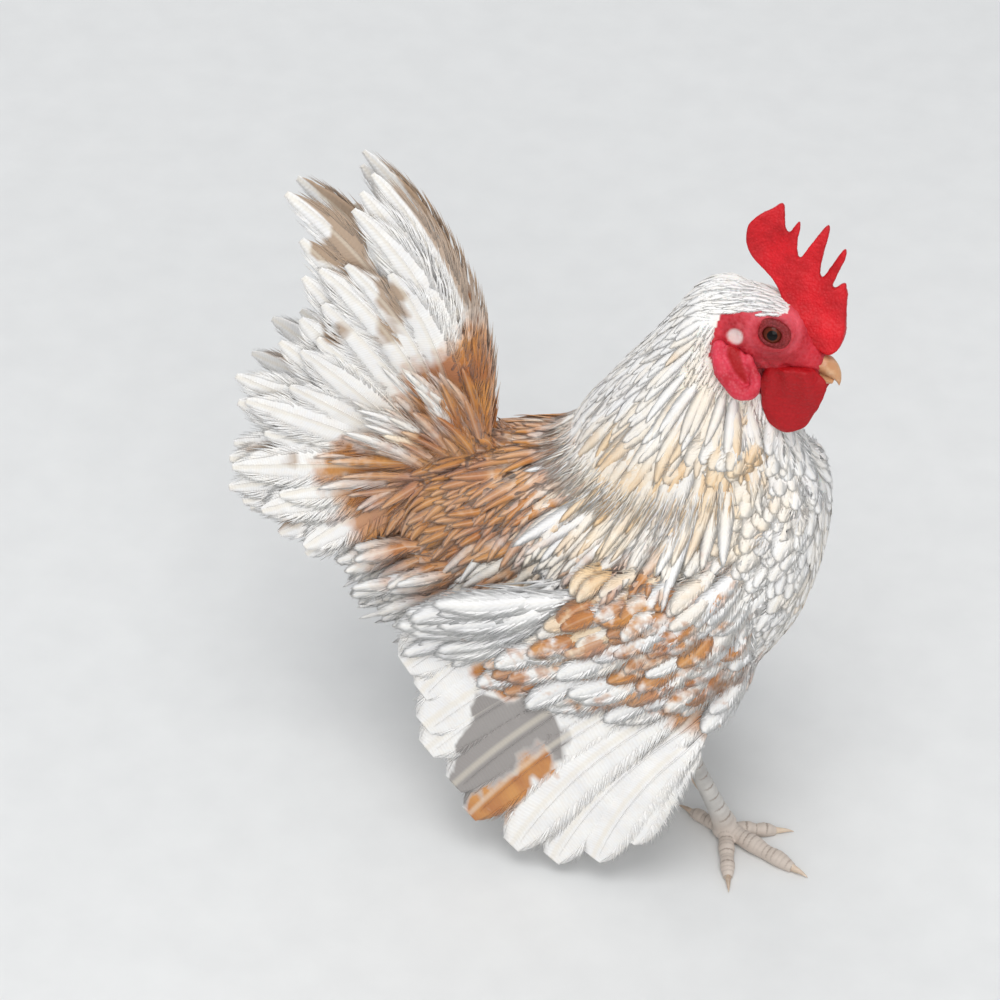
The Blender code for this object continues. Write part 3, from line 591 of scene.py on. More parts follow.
def scale_finish(leg):
    """Leg scales: pale plates, dusty joints and pinkish toes."""
    finish = Finish("rooster_leg_scales", 0.5, Specular_IOR_Level=0.4)
    joint, low, _ = finish.values("scute")
    cloud = finish.noise(160.0, 4.0)
    tone = finish.mix(cloud.between(0.3, 0.7), leg.scale, leg.scale_grey)
    tone = finish.mix(low * 0.6, tone, leg.toe)
    tone = finish.mix(joint * 0.75, tone, leg.joint)
    finish.set("Base Color", tone)
    finish.set("Roughness", 0.42 + cloud * 0.25)
    finish.bump(finish.cells(1400.0) * 0.4 + cloud, 0.35, 0.0002)
    return finish.material


# Meshes

AHEAD, ACROSS, UP = Vector((1, 0, 0)), Vector((0, 1, 0)), Vector((0, 0, 1))


def in_row(points):
    """Points from the bird's own frame, in millimetres, into the row's, in metres."""
    return (np.asarray([tuple(p) for p in points], float) + (BODY_ZERO_X, 0, 0)) * MM


def oval(centre, across, up, half_across, half_up, sides=24, square=2.2):
    """A ring of points: an ellipse, a little squared."""
    angles = np.linspace(0, math.tau, sides, endpoint=False)
    c, s = np.cos(angles), np.sin(angles)
    c, s = np.sign(c) * np.abs(c) ** (2 / square), np.sign(s) * np.abs(s) ** (2 / square)
    return np.asarray(centre, float) + np.outer(c * half_across, across) + np.outer(s * half_up, up)


def ring_edges(bm, verts):
    return [bm.edges.get(pair) for pair in zip(verts, verts[1:] + verts[:1])]


def loft(bm, rings):
    """A closed skin over rings of equal count: a circle, extruded from ring to ring and capped."""
    verts = bmesh.ops.create_circle(bm, segments=len(rings[0]), cap_ends=True)["verts"]
    for vert, place in zip(verts, rings[0]):
        vert.co = place
    for ring in rings[1:]:
        made = bmesh.ops.extrude_edge_only(bm, edges=ring_edges(bm, verts))["geom"]
        new = {v for v in made if isinstance(v, bmesh.types.BMVert)}
        verts = [next(e.other_vert(v) for e in v.link_edges if e.other_vert(v) in new) for v in verts]
        for vert, place in zip(verts, ring):
            vert.co = place
    bmesh.ops.contextual_create(bm, geom=ring_edges(bm, verts))


def ball(bm, centre, half, segments=24, rings=16, turn=Matrix.Identity(3)):
    """An ellipsoid."""
    matrix = Matrix.Translation(centre) @ turn.to_4x4() @ Matrix.Diagonal((*half, 1))
    bmesh.ops.create_uvsphere(bm, u_segments=segments, v_segments=rings, radius=1, matrix=matrix)


def moved(bm, matrix):
    bmesh.ops.transform(bm, matrix=matrix, verts=bm.verts[:])


def smoothed(bm, verts, times):
    for _ in range(times):
        bmesh.ops.smooth_vert(bm, verts=verts, factor=0.5, use_axis_x=True, use_axis_y=True,
                              use_axis_z=True)


def new_mesh(name, bm):
    """A bmesh's own mesh; the bmesh is freed."""
    mesh = bpy.data.meshes.new(name)
    bm.to_mesh(mesh)
    bm.free()
    return mesh


def linked(name, data):
    """A new object that is linked to the scene."""
    obj = bpy.data.objects.new(name, data)
    bpy.context.scene.collection.objects.link(obj)
    return obj


def evaluated_mesh(obj):
    """An object's mesh with its modifiers or fill applied; the object is removed."""
    evaluated = obj.evaluated_get(bpy.context.evaluated_depsgraph_get())
    mesh = bpy.data.meshes.new_from_object(evaluated)
    bpy.data.objects.remove(obj)
    return mesh


def remeshed(bm, voxel, smoothing):
    """The union of a bmesh's closed shapes as one even skin, smoothed. Sizes are in millimetres."""
    bmesh.ops.recalc_face_normals(bm, faces=bm.faces)
    mesh = bpy.data.meshes.new("union")
    bm.to_mesh(mesh)
    obj = linked("union", mesh)
    remesh = obj.modifiers.new("union", "REMESH")
    remesh.mode = "VOXEL"
    remesh.voxel_size = voxel
    bm.clear()
    bm.from_mesh(evaluated_mesh(obj))
    smoothed(bm, bm.verts[:], smoothing)


def keep_largest(bm):
    """Drops every loose shell of a bmesh but the one with the most faces."""
    left = set(bm.faces)
    shells = []
    while left:
        shell, front = set(), [left.pop()]
        while front:
            face = front.pop()
            shell.add(face)
            for other in {f for e in face.edges for f in e.link_faces} & left:
                left.discard(other)
                front.append(other)
        shells.append(shell)
    best = max(shells, key=len)
    bmesh.ops.delete(bm, geom=[f for s in shells if s is not best for f in s], context="FACES")


def dress(name, mesh, finish, nodes):
    """Puts a finished piece in the scene on the bird's one body, in the place of its solids."""
    obj = linked(name, mesh)
    obj.data.materials.append(finish)
    obj.data.shade_smooth()
    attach(obj, "root")
    if nodes:
        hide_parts(*nodes)
    return obj


def piece_from(name, bm, finish, nodes, levels=0):
    """A piece from a bmesh in the bird's frame."""
    bmesh.ops.recalc_face_normals(bm, faces=bm.faces)
    places = in_row([v.co for v in bm.verts])
    for vert, place in zip(bm.verts, places):
        vert.co = place
    obj = dress(name, new_mesh(name, bm), finish, nodes)
    if levels:
        soft = obj.modifiers.new("soft", "SUBSURF")
        soft.levels = soft.render_levels = levels
    return obj


def vector_attribute(mesh, name, values):
    layer = mesh.attributes.new(name, "FLOAT_VECTOR", "POINT")
    layer.data.foreach_set("vector", np.asarray(values, np.float32).ravel())


# Skin

def body_rings(inset):
    rings = []
    for x in np.linspace(BODY[0, 0] + inset, BODY[-1, 0] - inset, 30):
        low, high, half = read_table(BODY, x)
        depth = min(inset, 0.45 * half)
        middle = (x, 0, (low + high) / 2)
        rings.append(oval(middle, ACROSS, UP, half - depth, (high - low) / 2 - depth, 32))
    return rings


def neck_rings(inset):
    rings = []
    for z in np.linspace(NECK[0, 0], NECK[-1, 0] - inset, 24):
        back, front, half, middle = read_table(NECK, z)
        depth = min(inset, 0.4 * half)
        centre = ((back + front) / 2, middle, z)
        rings.append(oval(centre, AHEAD, ACROSS, (front - back) / 2 - depth, half - depth, 28))
    return rings


def head_rings(table, sides, count, square=2.1):
    rings = []
    for x in np.linspace(table[0, 0], table[-1, 0], count):
        low, high, half = read_table(table, x)
        middle = (x, 0, (low + high) / 2)
        rings.append(oval(middle, ACROSS, UP, half, (high - low) / 2, sides, square))
    return rings


def thigh_rings(leg, inset):
    hip, hock = sided(leg["hip"], leg["side"]), sided(leg["hock"], leg["side"])
    marks = np.array([(i / (len(THIGH_RADII) - 1), r) for i, r in enumerate(THIGH_RADII)])
    rings = []
    for t in np.linspace(0, 1, 14):
        radius = read_table(marks, t)[0]
        depth = min(inset, 0.3 * radius)
        centre = hip.lerp(hock, t)
        rings.append(oval(centre, AHEAD, ACROSS, radius * 1.12 - depth, radius * 0.86 - depth, 20))
    return rings


def from_eye(place):
    """How far a place in the head's own frame lies from the eye, seen from the side."""
    return math.hypot(place.x - EYE.x, (place.z - EYE.z) * 1.12)


def from_ear(place):
    return math.hypot(place.x - EAR.x, place.z - EAR.z)


def hill(value, middle, reach):
    """1 where a value is at the middle, falling to 0 within about twice the reach."""
    return math.exp(-((value - middle) / reach) ** 2)


def feathered(place):
    """Whether a place in the head's own frame grows feathers: all but the bare face and throat."""
    x, y, z = place + Vector((0.9, 0, 0.7)) * noise.noise(place * 0.6)
    crown = z > 8.4 - 0.42 * max(-x - 4, 0) and x < 1.5
    behind = x < 0 and (abs(x) / 16.2) ** 4 + (abs(z + 2) / 13) ** 4 > 1
    below = z < -13 - 0.7 * max(x + 6, 0)
    return crown or behind or below


def face_relief(place):
    """How far the bare face stands out or in at a place in the head's own frame."""
    x, _, z = place
    ring, ear = from_eye(place), from_ear(place)
    socket = -1.5 * (1 - step_between(2.6, 4.6, ring))
    brow = 0.75 * hill(ring, 5.6, 1.1)
    folds = 0.08 * math.sin(ring * 2.2 + x * 0.3) * float(step_between(5.5, 7.0, ring)) * hill(ring, 8, 4)
    ear_ring = 0.5 * hill(ear, 2.9, 0.8) - 0.4 * hill(ear, 0, 1.5)
    gape = -0.6 * hill(z + 5.6 - 0.12 * (x - 12), 0, 0.7) * float(step_between(4, 9, x))
    cheek = 0.5 * math.sin(x * 0.9 + z * 1.3) * hill(z, -7, 3) * 0.4
    pebble = 0.22 * noise.noise(place * 1.1) + 0.12 * noise.noise(place * 2.6)
    return socket + brow + folds + ear_ring + gape + cheek + pebble


def skin_tones(place, height):
    """How bare the skin is at a place in the head's own frame, so high over the floor, how much shade is
    painted on it below and round the eye, and how pale it is.
    """
    on_face = place.x > -19 and place.length < 30 and height > HEAD_PLACE.z - 24 and not feathered(place)
    ring, ear = from_eye(place), from_ear(place)
    # Painted shade: the skin is darkened below the eye towards the beak, and round the eye's socket
    dim = 0.75 * math.exp(-(((place.x - 4) / 7) ** 2 + ((place.z + 3.5) / 3.5) ** 2))
    dim += 0.5 * math.exp(-(ring / 5) ** 4)
    pale = 0.5 * hill(place.z, 8.5, 2.5) + 0.5 * hill(ring, 7.0, 1.3)
    feathery = 0.65 * (1 - float(step_between(EAR_RADIUS - 0.4, EAR_RADIUS + 0.5, ear)))
    return on_face - feathery * on_face, min(dim, 1), min(pale, 1)


def make_skin(settings):
    """One skin over the body, neck, head, wing bows, tail's root and thighs."""
    bm = bmesh.new()
    loft(bm, body_rings(COAT_DEPTH))
    loft(bm, neck_rings(HACKLE_DEPTH))
    for leg in LEGS.values():
        loft(bm, thigh_rings(leg, COAT_DEPTH))
    tilt = Matrix.Rotation(math.radians(TAIL_CORE_TILT), 3, "Y")
    for side in SIDES.values():
        ball(bm, sided(WING_BOW_CENTRE, side), WING_BOW_HALF - BOW_DEPTH)
        ball(bm, sided(TAIL_CORE_CENTRE, side), TAIL_CORE_HALF - TAIL_DEPTH, turn=tilt)
    head = bmesh.new()
    loft(head, head_rings(HEAD, 32, 24))
    moved(head, HEAD_TO_BODY)
    bm.from_mesh(new_mesh("head", head))
    remeshed(bm, settings.skin_voxel / MM, 3)
    keep_largest(bm)
    hollows = [v for v in bm.verts if -52 < v.co.x < 34 and 98 < v.co.z < 168]
    smoothed(bm, hollows, settings.hollow_smoothing)

    # The face's squares are halved, for its folds
    face = [f for f in bm.faces if (BODY_TO_HEAD @ f.calc_center_median()).x > -17
            and f.calc_center_median().z > HEAD_PLACE.z - 22]
    edges = list({e for f in face for e in f.edges})
    bmesh.ops.subdivide_edges(bm, edges=edges, cuts=1, use_grid_fill=True)
    bmesh.ops.triangulate(bm, faces=[f for f in bm.faces if len(f.verts) > 4])
    bm.normal_update()
    bare, shifts = [], []
    for vert in bm.verts:
        place = BODY_TO_HEAD @ vert.co
        bare.append(skin_tones(place, vert.co.z))
        if place.x > -16 and place.length < 26:
            shifts.append((vert, vert.normal * face_relief(place)))
    for vert, shift in shifts:
        vert.co += shift
    places = [tuple(v.co) for v in bm.verts]
    tree = BVHTree.FromBMesh(bm)
    bm.normal_update()
    roots = [(f.calc_center_median(), f.normal.copy()) for f in bm.faces]
    finish = skin_finish(settings, bpy.context.scene.rooster_head)
    skin = piece_from("skin", bm, finish, ["torso", "head", "thigh_right", "thigh_left"])
    vector_attribute(skin.data, "marks", markings(places))
    vector_attribute(skin.data, "bare", bare)
    return tree, roots


# Feathers

# Outlines: a larger first number puts the widest place nearer the tip, and a larger second one thins the
# ends
LANCE, BROAD, SOFT, SICKLE = (0.95, 0.8), (1.6, 0.36), (1.25, 0.7), (1.1, 0.5)
# Forms: sections along their length, barbs a side, share of the width that the blade fills, barbs' width, and
# for small ones how far the edges droop
BODY_FORM = dict(length=18, width=11, shape=SOFT, sections=5, barbs=15, core=0.7, barb_width=0.75, cup=0.25)
HACKLE_FORM = dict(length=36, width=7, shape=LANCE, sections=8, barbs=11, core=0.8, barb_width=0.55, cup=0.12)
SADDLE_FORM = dict(length=34, width=6.4, shape=LANCE, sections=8, barbs=12, core=0.72, barb_width=0.55,
                   cup=0.12)
CROWN_FORM = dict(length=7, width=3, shape=SOFT, sections=4, barbs=6, core=0.55, barb_width=0.45, cup=0.15)
COVERT_FORM = dict(length=26, width=11, shape=SOFT, sections=7, barbs=22, core=0.68, barb_width=0.7, cup=0.4)
BOW_FORM = dict(length=14, width=9, shape=SOFT, sections=5, barbs=13, core=0.7, barb_width=0.7, cup=0.25)
TAIL_COVERT_FORM = dict(length=32, width=7, shape=LANCE, sections=7, barbs=14, core=0.55, barb_width=0.7,
                        cup=0.4)
FLIGHT_FORM = dict(length=75, width=30, shape=BROAD, sections=32, barbs=90, core=0.8, barb_width=0.55,
                   camber=2.4, fray=0.16, splits=2, slant=0.11)
TAIL_FORM = dict(length=85, width=18, shape=SICKLE, sections=24, barbs=84, core=0.6, barb_width=0.6,
                 camber=1.2, fray=0.32, splits=6, slant=0.14)
# How far aside a long feather's shaft lies: six tenths of this share of half its width
FLIGHT_SHAFT, TAIL_SHAFT = -0.25, 0.12
VANE_COLUMNS = (-1.0, -0.5, 0.0, 0.5, 1.0)
VANE_THICKNESS, SMALL_BARB_THICKNESS, LARGE_BARB_THICKNESS = 0.26, 0.12, 0.16
# The lowest that a feather may reach over the floor
FLOOR_GAP = 0.4


def outline(shape, u):
    """A feather's half width at a place along its length (0 to 1), as a share of its greatest."""
    return max(math.sin(math.pi * min(max(u, 0), 1) ** shape[0]), 0) ** shape[1]


class Form:
    """A feather laid out flat, as closed pieces: x along it, y across, z up, in millimetres."""

    def __init__(self, length, width):
        self.length, self.half = length, width / 2
        self.points, self.faces = [], []

    def strip(self, loops, tip=None):
        """A closed strip through loops that run left, over the top, right and back below.

        It ends flat, or runs out to a tip."""
        start, count = len(self.points), len(loops[0])
        for one in loops:
            self.points += [tuple(p) for p in one]
        for k in range(len(loops) - 1):
            for i in range(count):
                a, d = start + k * count + i, start + k * count + (i + 1) % count
                b, c = a + count, d + count
                self.faces += [(a, b, c), (a, c, d)]
        self.faces += [(start, start + i, start + i + 1) for i in range(1, count - 1)]
        last = start + (len(loops) - 1) * count
        if tip is None:
            self.faces += [(last, last + i + 1, last + i) for i in range(1, count - 1)]
        else:
            self.points.append(tuple(tip))
            end = len(self.points) - 1
            self.faces += [(last + i, end, last + (i + 1) % count) for i in range(count)]

    def barb(self, root, tip, width, thick, bend=0.0):
        """A tapered barb from one place to another, with a bend at its middle when it has one."""
        root, tip = np.array(root, float), np.array(tip, float)
        along = (tip - root) / np.linalg.norm(tip - root)
        side = np.array((-along[1], along[0], 0.0))
        up = np.array((0, 0, 1.0))
        loops = [[root - side * width / 2, root + up * thick, root + side * width / 2]]
        if bend:
            middle = (root + tip) / 2 + side * bend
            loops.append([middle - side * width * 0.42, middle + up * thick, middle + side * width * 0.42])
        self.strip(loops, tip)

    def arrays(self):
        points = np.array(self.points)
        return points / (self.length, self.half, 1), np.array(self.faces)


def small_form(draw, length, width, shape, sections, barbs, core, barb_width, cup):
    """A body feather, hackle or covert: a blade round the shaft, and a fringe of barbs to its outline."""
    form = Form(length, width)
    loops = []
    for u in np.linspace(0.0, 0.9, sections):
        half = form.half * core * max(outline(shape, u), 0.12)
        drop = -cup * (half / form.half) ** 2
        loops.append([(u * length, -half, drop), (u * length, 0, 0.16 - 0.06 * u), (u * length, half, drop)])
    form.strip(loops, (0.96 * length, 0, 0.03))
    for side in (-1, 1):
        for i in range(barbs):
            u = 0.16 + 0.84 * (i + 0.5 + draw.uniform(-0.35, 0.35)) / barbs
            back = max(u - draw.uniform(0.2, 0.32), 0.03)
            reach = draw.uniform(0.88, 1.1)
            root = (back * length, side * form.half * core * 0.5 * outline(shape, back), -0.05)
            out = outline(shape, min(u, 0.99)) * reach
            tip = (u * length * draw.uniform(0.99, 1.03), side * form.half * out,
                   -cup * out ** 2 + draw.uniform(-0.1, 0.1))
            form.barb(root, tip, barb_width, SMALL_BARB_THICKNESS)
    return form.arrays()


def large_form(draw, shaft, length, width, shape, sections, barbs, core, barb_width, camber, fray, splits,
               slant):
    """A flight or tail feather: a cambered vane each side of a raised shaft, edged with barbs.

    The shaft lies so far aside, and the vane is split in so many places."""
    form = Form(length, width)
    notches = [(draw.uniform(0.3, 0.95), draw.choice((-1, 1)), draw.uniform(0.15, 0.45))
               for _ in range(splits)]

    def half_at(u, side):
        half = core * outline(shape, min(u, 0.99))
        for place, where, depth in notches:
            if where == side:
                half *= 1 - depth * max(0, 1 - abs(u - place) * length / 1.6)
        return half

    loops = []
    for u in 0.998 * (1 - np.linspace(1, 0, sections) ** 1.6):
        left, right = -half_at(u, -1), half_at(u, 1)
        rib = min(max(shaft * 0.6, left * 0.5), right * 0.5)
        shares = [rib + (right - rib) * c if c > 0 else rib - (left - rib) * c for c in VANE_COLUMNS]
        top = [(u * length, share * form.half, -camber * share ** 2) for share in shares]
        loops.append(top + [(x, y, z - VANE_THICKNESS) for x, y, z in top[::-1]])
    form.strip(loops)
    rib = shaft * 0.6 * form.half
    spine = [[(u * length, rib - 0.5 * (1.05 - u), 0.02), (u * length, rib, 0.46 - 0.25 * u),
              (u * length, rib + 0.5 * (1.05 - u), 0.02)] for u in np.linspace(0, 0.93, 14)]
    form.strip(spine, (0.97 * length, rib, 0.05))
    for side in (-1, 1):
        for i in range(barbs):
            u = 0.08 + 0.92 * (i + 0.5 + draw.uniform(-0.3, 0.3)) / barbs
            back = max(u - slant * draw.uniform(0.85, 1.2), 0.02)
            out = outline(shape, min(u, 0.997)) * draw.uniform(1 - fray * 0.5, 1 + fray * 0.5)
            inner = half_at(back, side) * 0.72
            lift = 0.05 - camber * out ** 2 + draw.uniform(-0.6, 0.8) * fray
            tip_u = u + fray * 0.03 * draw.uniform(-1, 1)
            bend = side * barb_width * 0.8 if fray > 0.1 else 0.0
            form.barb((back * length, side * form.half * inner, 0.03 - camber * inner ** 2),
                      (tip_u * length, side * form.half * out, lift), barb_width, LARGE_BARB_THICKNESS, bend)
    return form.arrays()


TUFT_PATCH = (0.003, 0.003)


class Coat:
    """Feathers that share a few forms, gathered and then made one joined mesh."""

    def __init__(self, draw, count, make_form, form, *more):
        self.draw = draw
        self.forms = [make_form(draw, *more, **form) for _ in range(count)]
        self.rows = []

    def add(self, path, width, unwrap, patch=TUFT_PATCH, marks=None, vane=(0.0, 0.0)):
        """One feather, with its start and its size on the unwrap.

        Marks are given at its root and its tip, or read from its place. Vane browns one side of it."""
        kind = self.draw.randrange(len(self.forms))
        self.rows.append((kind, *path, width / 2, unwrap, patch, marks, self.draw.random(), vane))

    def lay(self, kind):
        """The points, faces, lie, patch places and marks of every feather that has one form."""
        chosen = [row[1:] for row in self.rows if row[0] == kind]
        if not chosen:
            return None
        points, faces = self.forms[kind]
        paths, across, normals, halves, unwraps, patches, marks, tones, vanes = zip(*chosen)
        paths, across, normals = np.array(paths), np.array(across), np.array(normals)
        count, last = len(points), paths.shape[1] - 1
        at = np.clip(points[:, 0], 0, 1) * last
        low = np.minimum(at.astype(int), last - 1)
        part = (at - low)[None, :, None]

        def read(rows):
            return rows[:, low] * (1 - part) + rows[:, low + 1] * part

        beyond = np.maximum(points[:, 0] - 1, 0)[None, :, None] * (paths[:, -1:] - paths[:, -2:-1]) * last
        wide = points[None, :, 1:2] * np.array(halves)[:, None, None]
        placed = read(paths) + beyond + read(across) * wide + read(normals) * points[None, :, 2:3]
        placed = placed.reshape(-1, 3)
        along = np.tile(points[:, 0], len(chosen))
        aside = np.tile(points[:, 1], len(chosen))
        lie = np.stack([along, aside, np.repeat(tones, count)], axis=1)
        spread = np.stack([points[:, 1] * 0.5, points[:, 0]], axis=1)[None]
        unwrapped = np.array(unwraps)[:, None, :] + spread * np.array(patches)[:, None, :]
        if marks[0] is None:
            amounts = markings(placed)
            brown = np.repeat(np.array(vanes), count, axis=0)
            shade = brown[:, 0] * step_between(-0.1, 0.35, aside * brown[:, 1])
            amounts[:, SLATE] = np.clip(amounts[:, SLATE] + shade, 0, 1)
        else:
            ends = np.repeat(np.array(marks), count, axis=0)
            amounts = ends[:, 0] * (1 - along[:, None]) + ends[:, 1] * along[:, None]
        faces = (faces[None] + (np.arange(len(chosen)) * count)[:, None, None]).reshape(-1, 3)
        return placed, faces, lie, unwrapped.reshape(-1, 2), amounts

    def piece(self, name, finish, nodes):
        laid = [part for part in map(self.lay, range(len(self.forms))) if part is not None]
        starts = np.cumsum([0] + [len(part[0]) for part in laid])
        points = np.concatenate([part[0] for part in laid])
        faces = np.concatenate([part[1] + start for part, start in zip(laid, starts)])
        lie, unwrapped, marks = (np.concatenate([part[i] for part in laid]) for i in (2, 3, 4))
        points[:, 2] = np.maximum(points[:, 2], FLOOR_GAP)
        mesh = bpy.data.meshes.new(name)
        mesh.vertices.add(len(points))
        mesh.vertices.foreach_set("co", in_row(points).astype(np.float32).ravel())
        mesh.loops.add(faces.size)
        mesh.loops.foreach_set("vertex_index", faces.astype(np.int32).ravel())
        mesh.polygons.add(len(faces))
        mesh.polygons.foreach_set("loop_start", np.arange(0, faces.size, 3, dtype=np.int32))
        mesh.update(calc_edges=True)
        unwrap = mesh.uv_layers.new(name="OFBake")
        unwrap.data.foreach_set("uv", unwrapped[faces.ravel()].astype(np.float32).ravel())
        vector_attribute(mesh, "marks", marks)
        vector_attribute(mesh, "lie", lie)
        print(f"{name}: {len(self.rows)} feathers, {len(faces)} triangles")
        dress(name, mesh, finish, nodes)


def unwrap_place(place):
    """Where a root lies on an unwrap of the skin: the neck round its own axis, the body round its own."""
    if place.z > NECK_FOOT:
        back, front, _, middle = read_within(NECK, place.z)
        turn = math.atan2(place.y - middle, (back + front) / 2 - place.x)
        return 0.5 + 0.45 * turn / math.pi, 0.62 + 0.34 * (place.z - NECK_FOOT) / 62
    low, high, _ = read_within(BODY, place.x)
    turn = math.atan2(place.y, place.z - (low + high) / 2)
    return 0.5 + 0.45 * turn / math.pi, 0.04 + 0.54 * (place.x + 100) / 150


def strip_patch(index, count):
    """A long feather's own strip of the unwrap: its start and its size."""
    return ((index + 0.5) / count, 0.03), (0.86 / count, 0.94)


def scatter(roots, wanted, draw):
    """Roots in a random order, none nearer another than the spacing wanted there; 0 leaves a root out."""
    order = list(range(len(roots)))
    draw.shuffle(order)
    cell = 3.0
    taken, kept = {}, []
    for i in order:
        place, normal = roots[i]
        spacing = wanted(place, normal)
        if not spacing:
            continue
        reach = int(spacing // cell) + 1
        key = tuple(int(c // cell) for c in place)
        cells = itertools.product(*(range(k - reach, k + reach + 1) for k in key))
        if not any((other - place).length < spacing for near in cells for other in taken.get(near, ())):
            taken.setdefault(key, []).append(place)
            kept.append((place, normal))
    return kept


def laid_path(tree, start, heading, length, sink, rise, cling, steps, roll=0.0, curl=0.0, power=0.5):
    """A feather's path, and at each step of it the way across the feather and the way out of its face.

    It is rooted under the skin, slides over it in a heading and rises to its tip. It curls sideways by so
    many radians. A loose one clings little and hangs free of hollows."""
    heading = Vector(heading).normalized()
    point, along = Vector(start), heading.copy()
    path, across, normals = [], [], []
    for i in range(steps):
        t = i / (steps - 1)
        lift = -sink + (rise + sink) * t ** power
        near, normal, _, _ = tree.find_nearest(point)
        height = (point - near).dot(normal)
        if height < lift:
            point = point + normal * (lift - height)
        else:
            point = point - normal * (height - lift) * cling
        heading = Matrix.Rotation(curl / steps, 3, normal) @ heading
        along = along + heading * 0.6
        along = (along - normal * along.dot(normal) * (cling if height > lift else 1.0)).normalized()
        out = (normal - along * normal.dot(along)).normalized()
        turn = Matrix.Rotation(roll, 3, along)
        path.append(tuple(point))
        across.append(tuple(turn @ out.cross(along)))
        normals.append(tuple(turn @ out))
        point = point + along * (length / (steps - 1))
    return path, across, normals


def neck_angle(place):
    """Degrees round the neck from its back."""
    back, front, _, middle = read_within(NECK, place.z)
    return math.degrees(math.atan2(abs(place.y - middle), (back + front) / 2 - place.x))


def on_neck(place):
    """Whether a place lies on the neck, below the head."""
    if place.z < NECK_FOOT or abs(place.y) > 30:
        return False
    head = BODY_TO_HEAD @ place
    return head.length > 30 or head.z < -11 or head.x < -12


def on_cape(place):
    """Whether a place carries hackles: the neck's back and sides and the shoulders, but not its front."""
    if -38 < place.x < 12 and 123 < place.z <= NECK_FOOT:
        return True
    widest = 150 if place.z > 172 else 132 if place.z > 162 else 116
    return on_neck(place) and neck_angle(place) < widest


def on_head(place):
    """Whether a place lies on the head itself, above the neck's longer feathers."""
    head = BODY_TO_HEAD @ place
    return head.x > -19 and head.z > -16 and head.length < 28


def on_bow(place, normal):
    offset = place - sided(WING_BOW_CENTRE, side_of(place))
    share = (offset.x / WING_BOW_HALF.x) ** 2 + (offset.z / WING_BOW_HALF.z) ** 2
    return share < 0.98 and abs(place.y) > 35.2 and abs(normal.y) > 0.3


def on_thigh(place):
    return place.z < 66 and abs(place.y) > 5


def coat_marks(path, draw, mottle, white_tips=0.0):
    """A feather's share of each colour at its root and tip, scattered so that neighbours differ."""
    amounts = markings([path[0][0], path[0][-1]])
    spread = np.array([draw.uniform(-1, 1) for _ in range(3)]) * mottle
    amounts = np.clip(amounts + spread * np.minimum(amounts * 2.2, 1.3 - amounts), 0, 1)
    if draw.random() < white_tips * (1.2 - amounts[1, ORANGE]):
        amounts[1] *= 0.2
    return amounts


def body_tract(place):
    """How a body feather lies at a place: heading, length, width, rise and how closely it clings."""
    side = side_of(place)
    if on_thigh(place):
        return (-0.25, 0.1 * side, -1.0), 12, 7.5, 1.6, 0.8
    if place.x < -62 and place.z < 110:
        return (-1.0, 0.15 * side, -0.55), 33, 7.0, 6.0, 0.1
    if place.z < 74:
        return (-0.8, 0.12 * side, -0.55), 16, 9.0, 2.0, 0.7
    front = float(step_between(-6, 22, place.x))
    heading = Vector((-1.0, 0.1 * side, -0.32)).lerp(Vector((-0.5, 0.3 * side, -1.0)), front)
    return tuple(heading), 17 + 3.0 * front, 11.0, 1.1, 0.9


def body_coat(name, tree, roots, wanted, finish, draw):
    coat = Coat(draw, 6, small_form, BODY_FORM)
    for place, _ in scatter(roots, wanted, draw):
        heading, length, width, rise, cling = body_tract(place)
        heading = Vector(heading).normalized() + jitter(draw, 0.2)
        scale = draw.uniform(0.8, 1.2)
        path = laid_path(tree, place, heading, length * scale, sink=0.9, rise=rise * draw.uniform(0.9, 1.15),
                         cling=cling, steps=6, roll=draw.uniform(-0.06, 0.06))
        coat.add(path, width * scale, unwrap_place(place), marks=coat_marks(path, draw, 0.3))
    coat.piece(name, finish, [])


def hidden_by_wing(place):
    """Whether the let-down wing covers a place on the body or thigh."""
    return abs(place.y) > 15 and -62 < place.x < 8 and 46 < place.z < 100


def make_body_feathers(settings, tree, roots):
    finish = feather_finish("body_feathers", settings, barbs=16.0, slant=5.0, patchy=0.35)
    spacing = 2.9 / math.sqrt(settings.density)

    def body_only(place, normal):
        return place.z < 172 and not on_cape(place) and not on_bow(place, normal)

    def front(place, normal):
        if place.x < 6 or not body_only(place, normal):
            return 0
        return spacing * (0.8 if place.z > NECK_FOOT else 1.0)

    def rear(place, normal):
        if place.x >= 6 or not body_only(place, normal):
            return 0
        if hidden_by_wing(place) and not on_thigh(place):
            return spacing * 1.8
        return spacing * (0.85 if place.x < -62 else 1.5 if place.z > 125 else 1.0)

    body_coat("breast_feathers", tree, roots, front, finish, random.Random(11))
    body_coat("back_and_belly_feathers", tree, roots, rear, finish, random.Random(12))


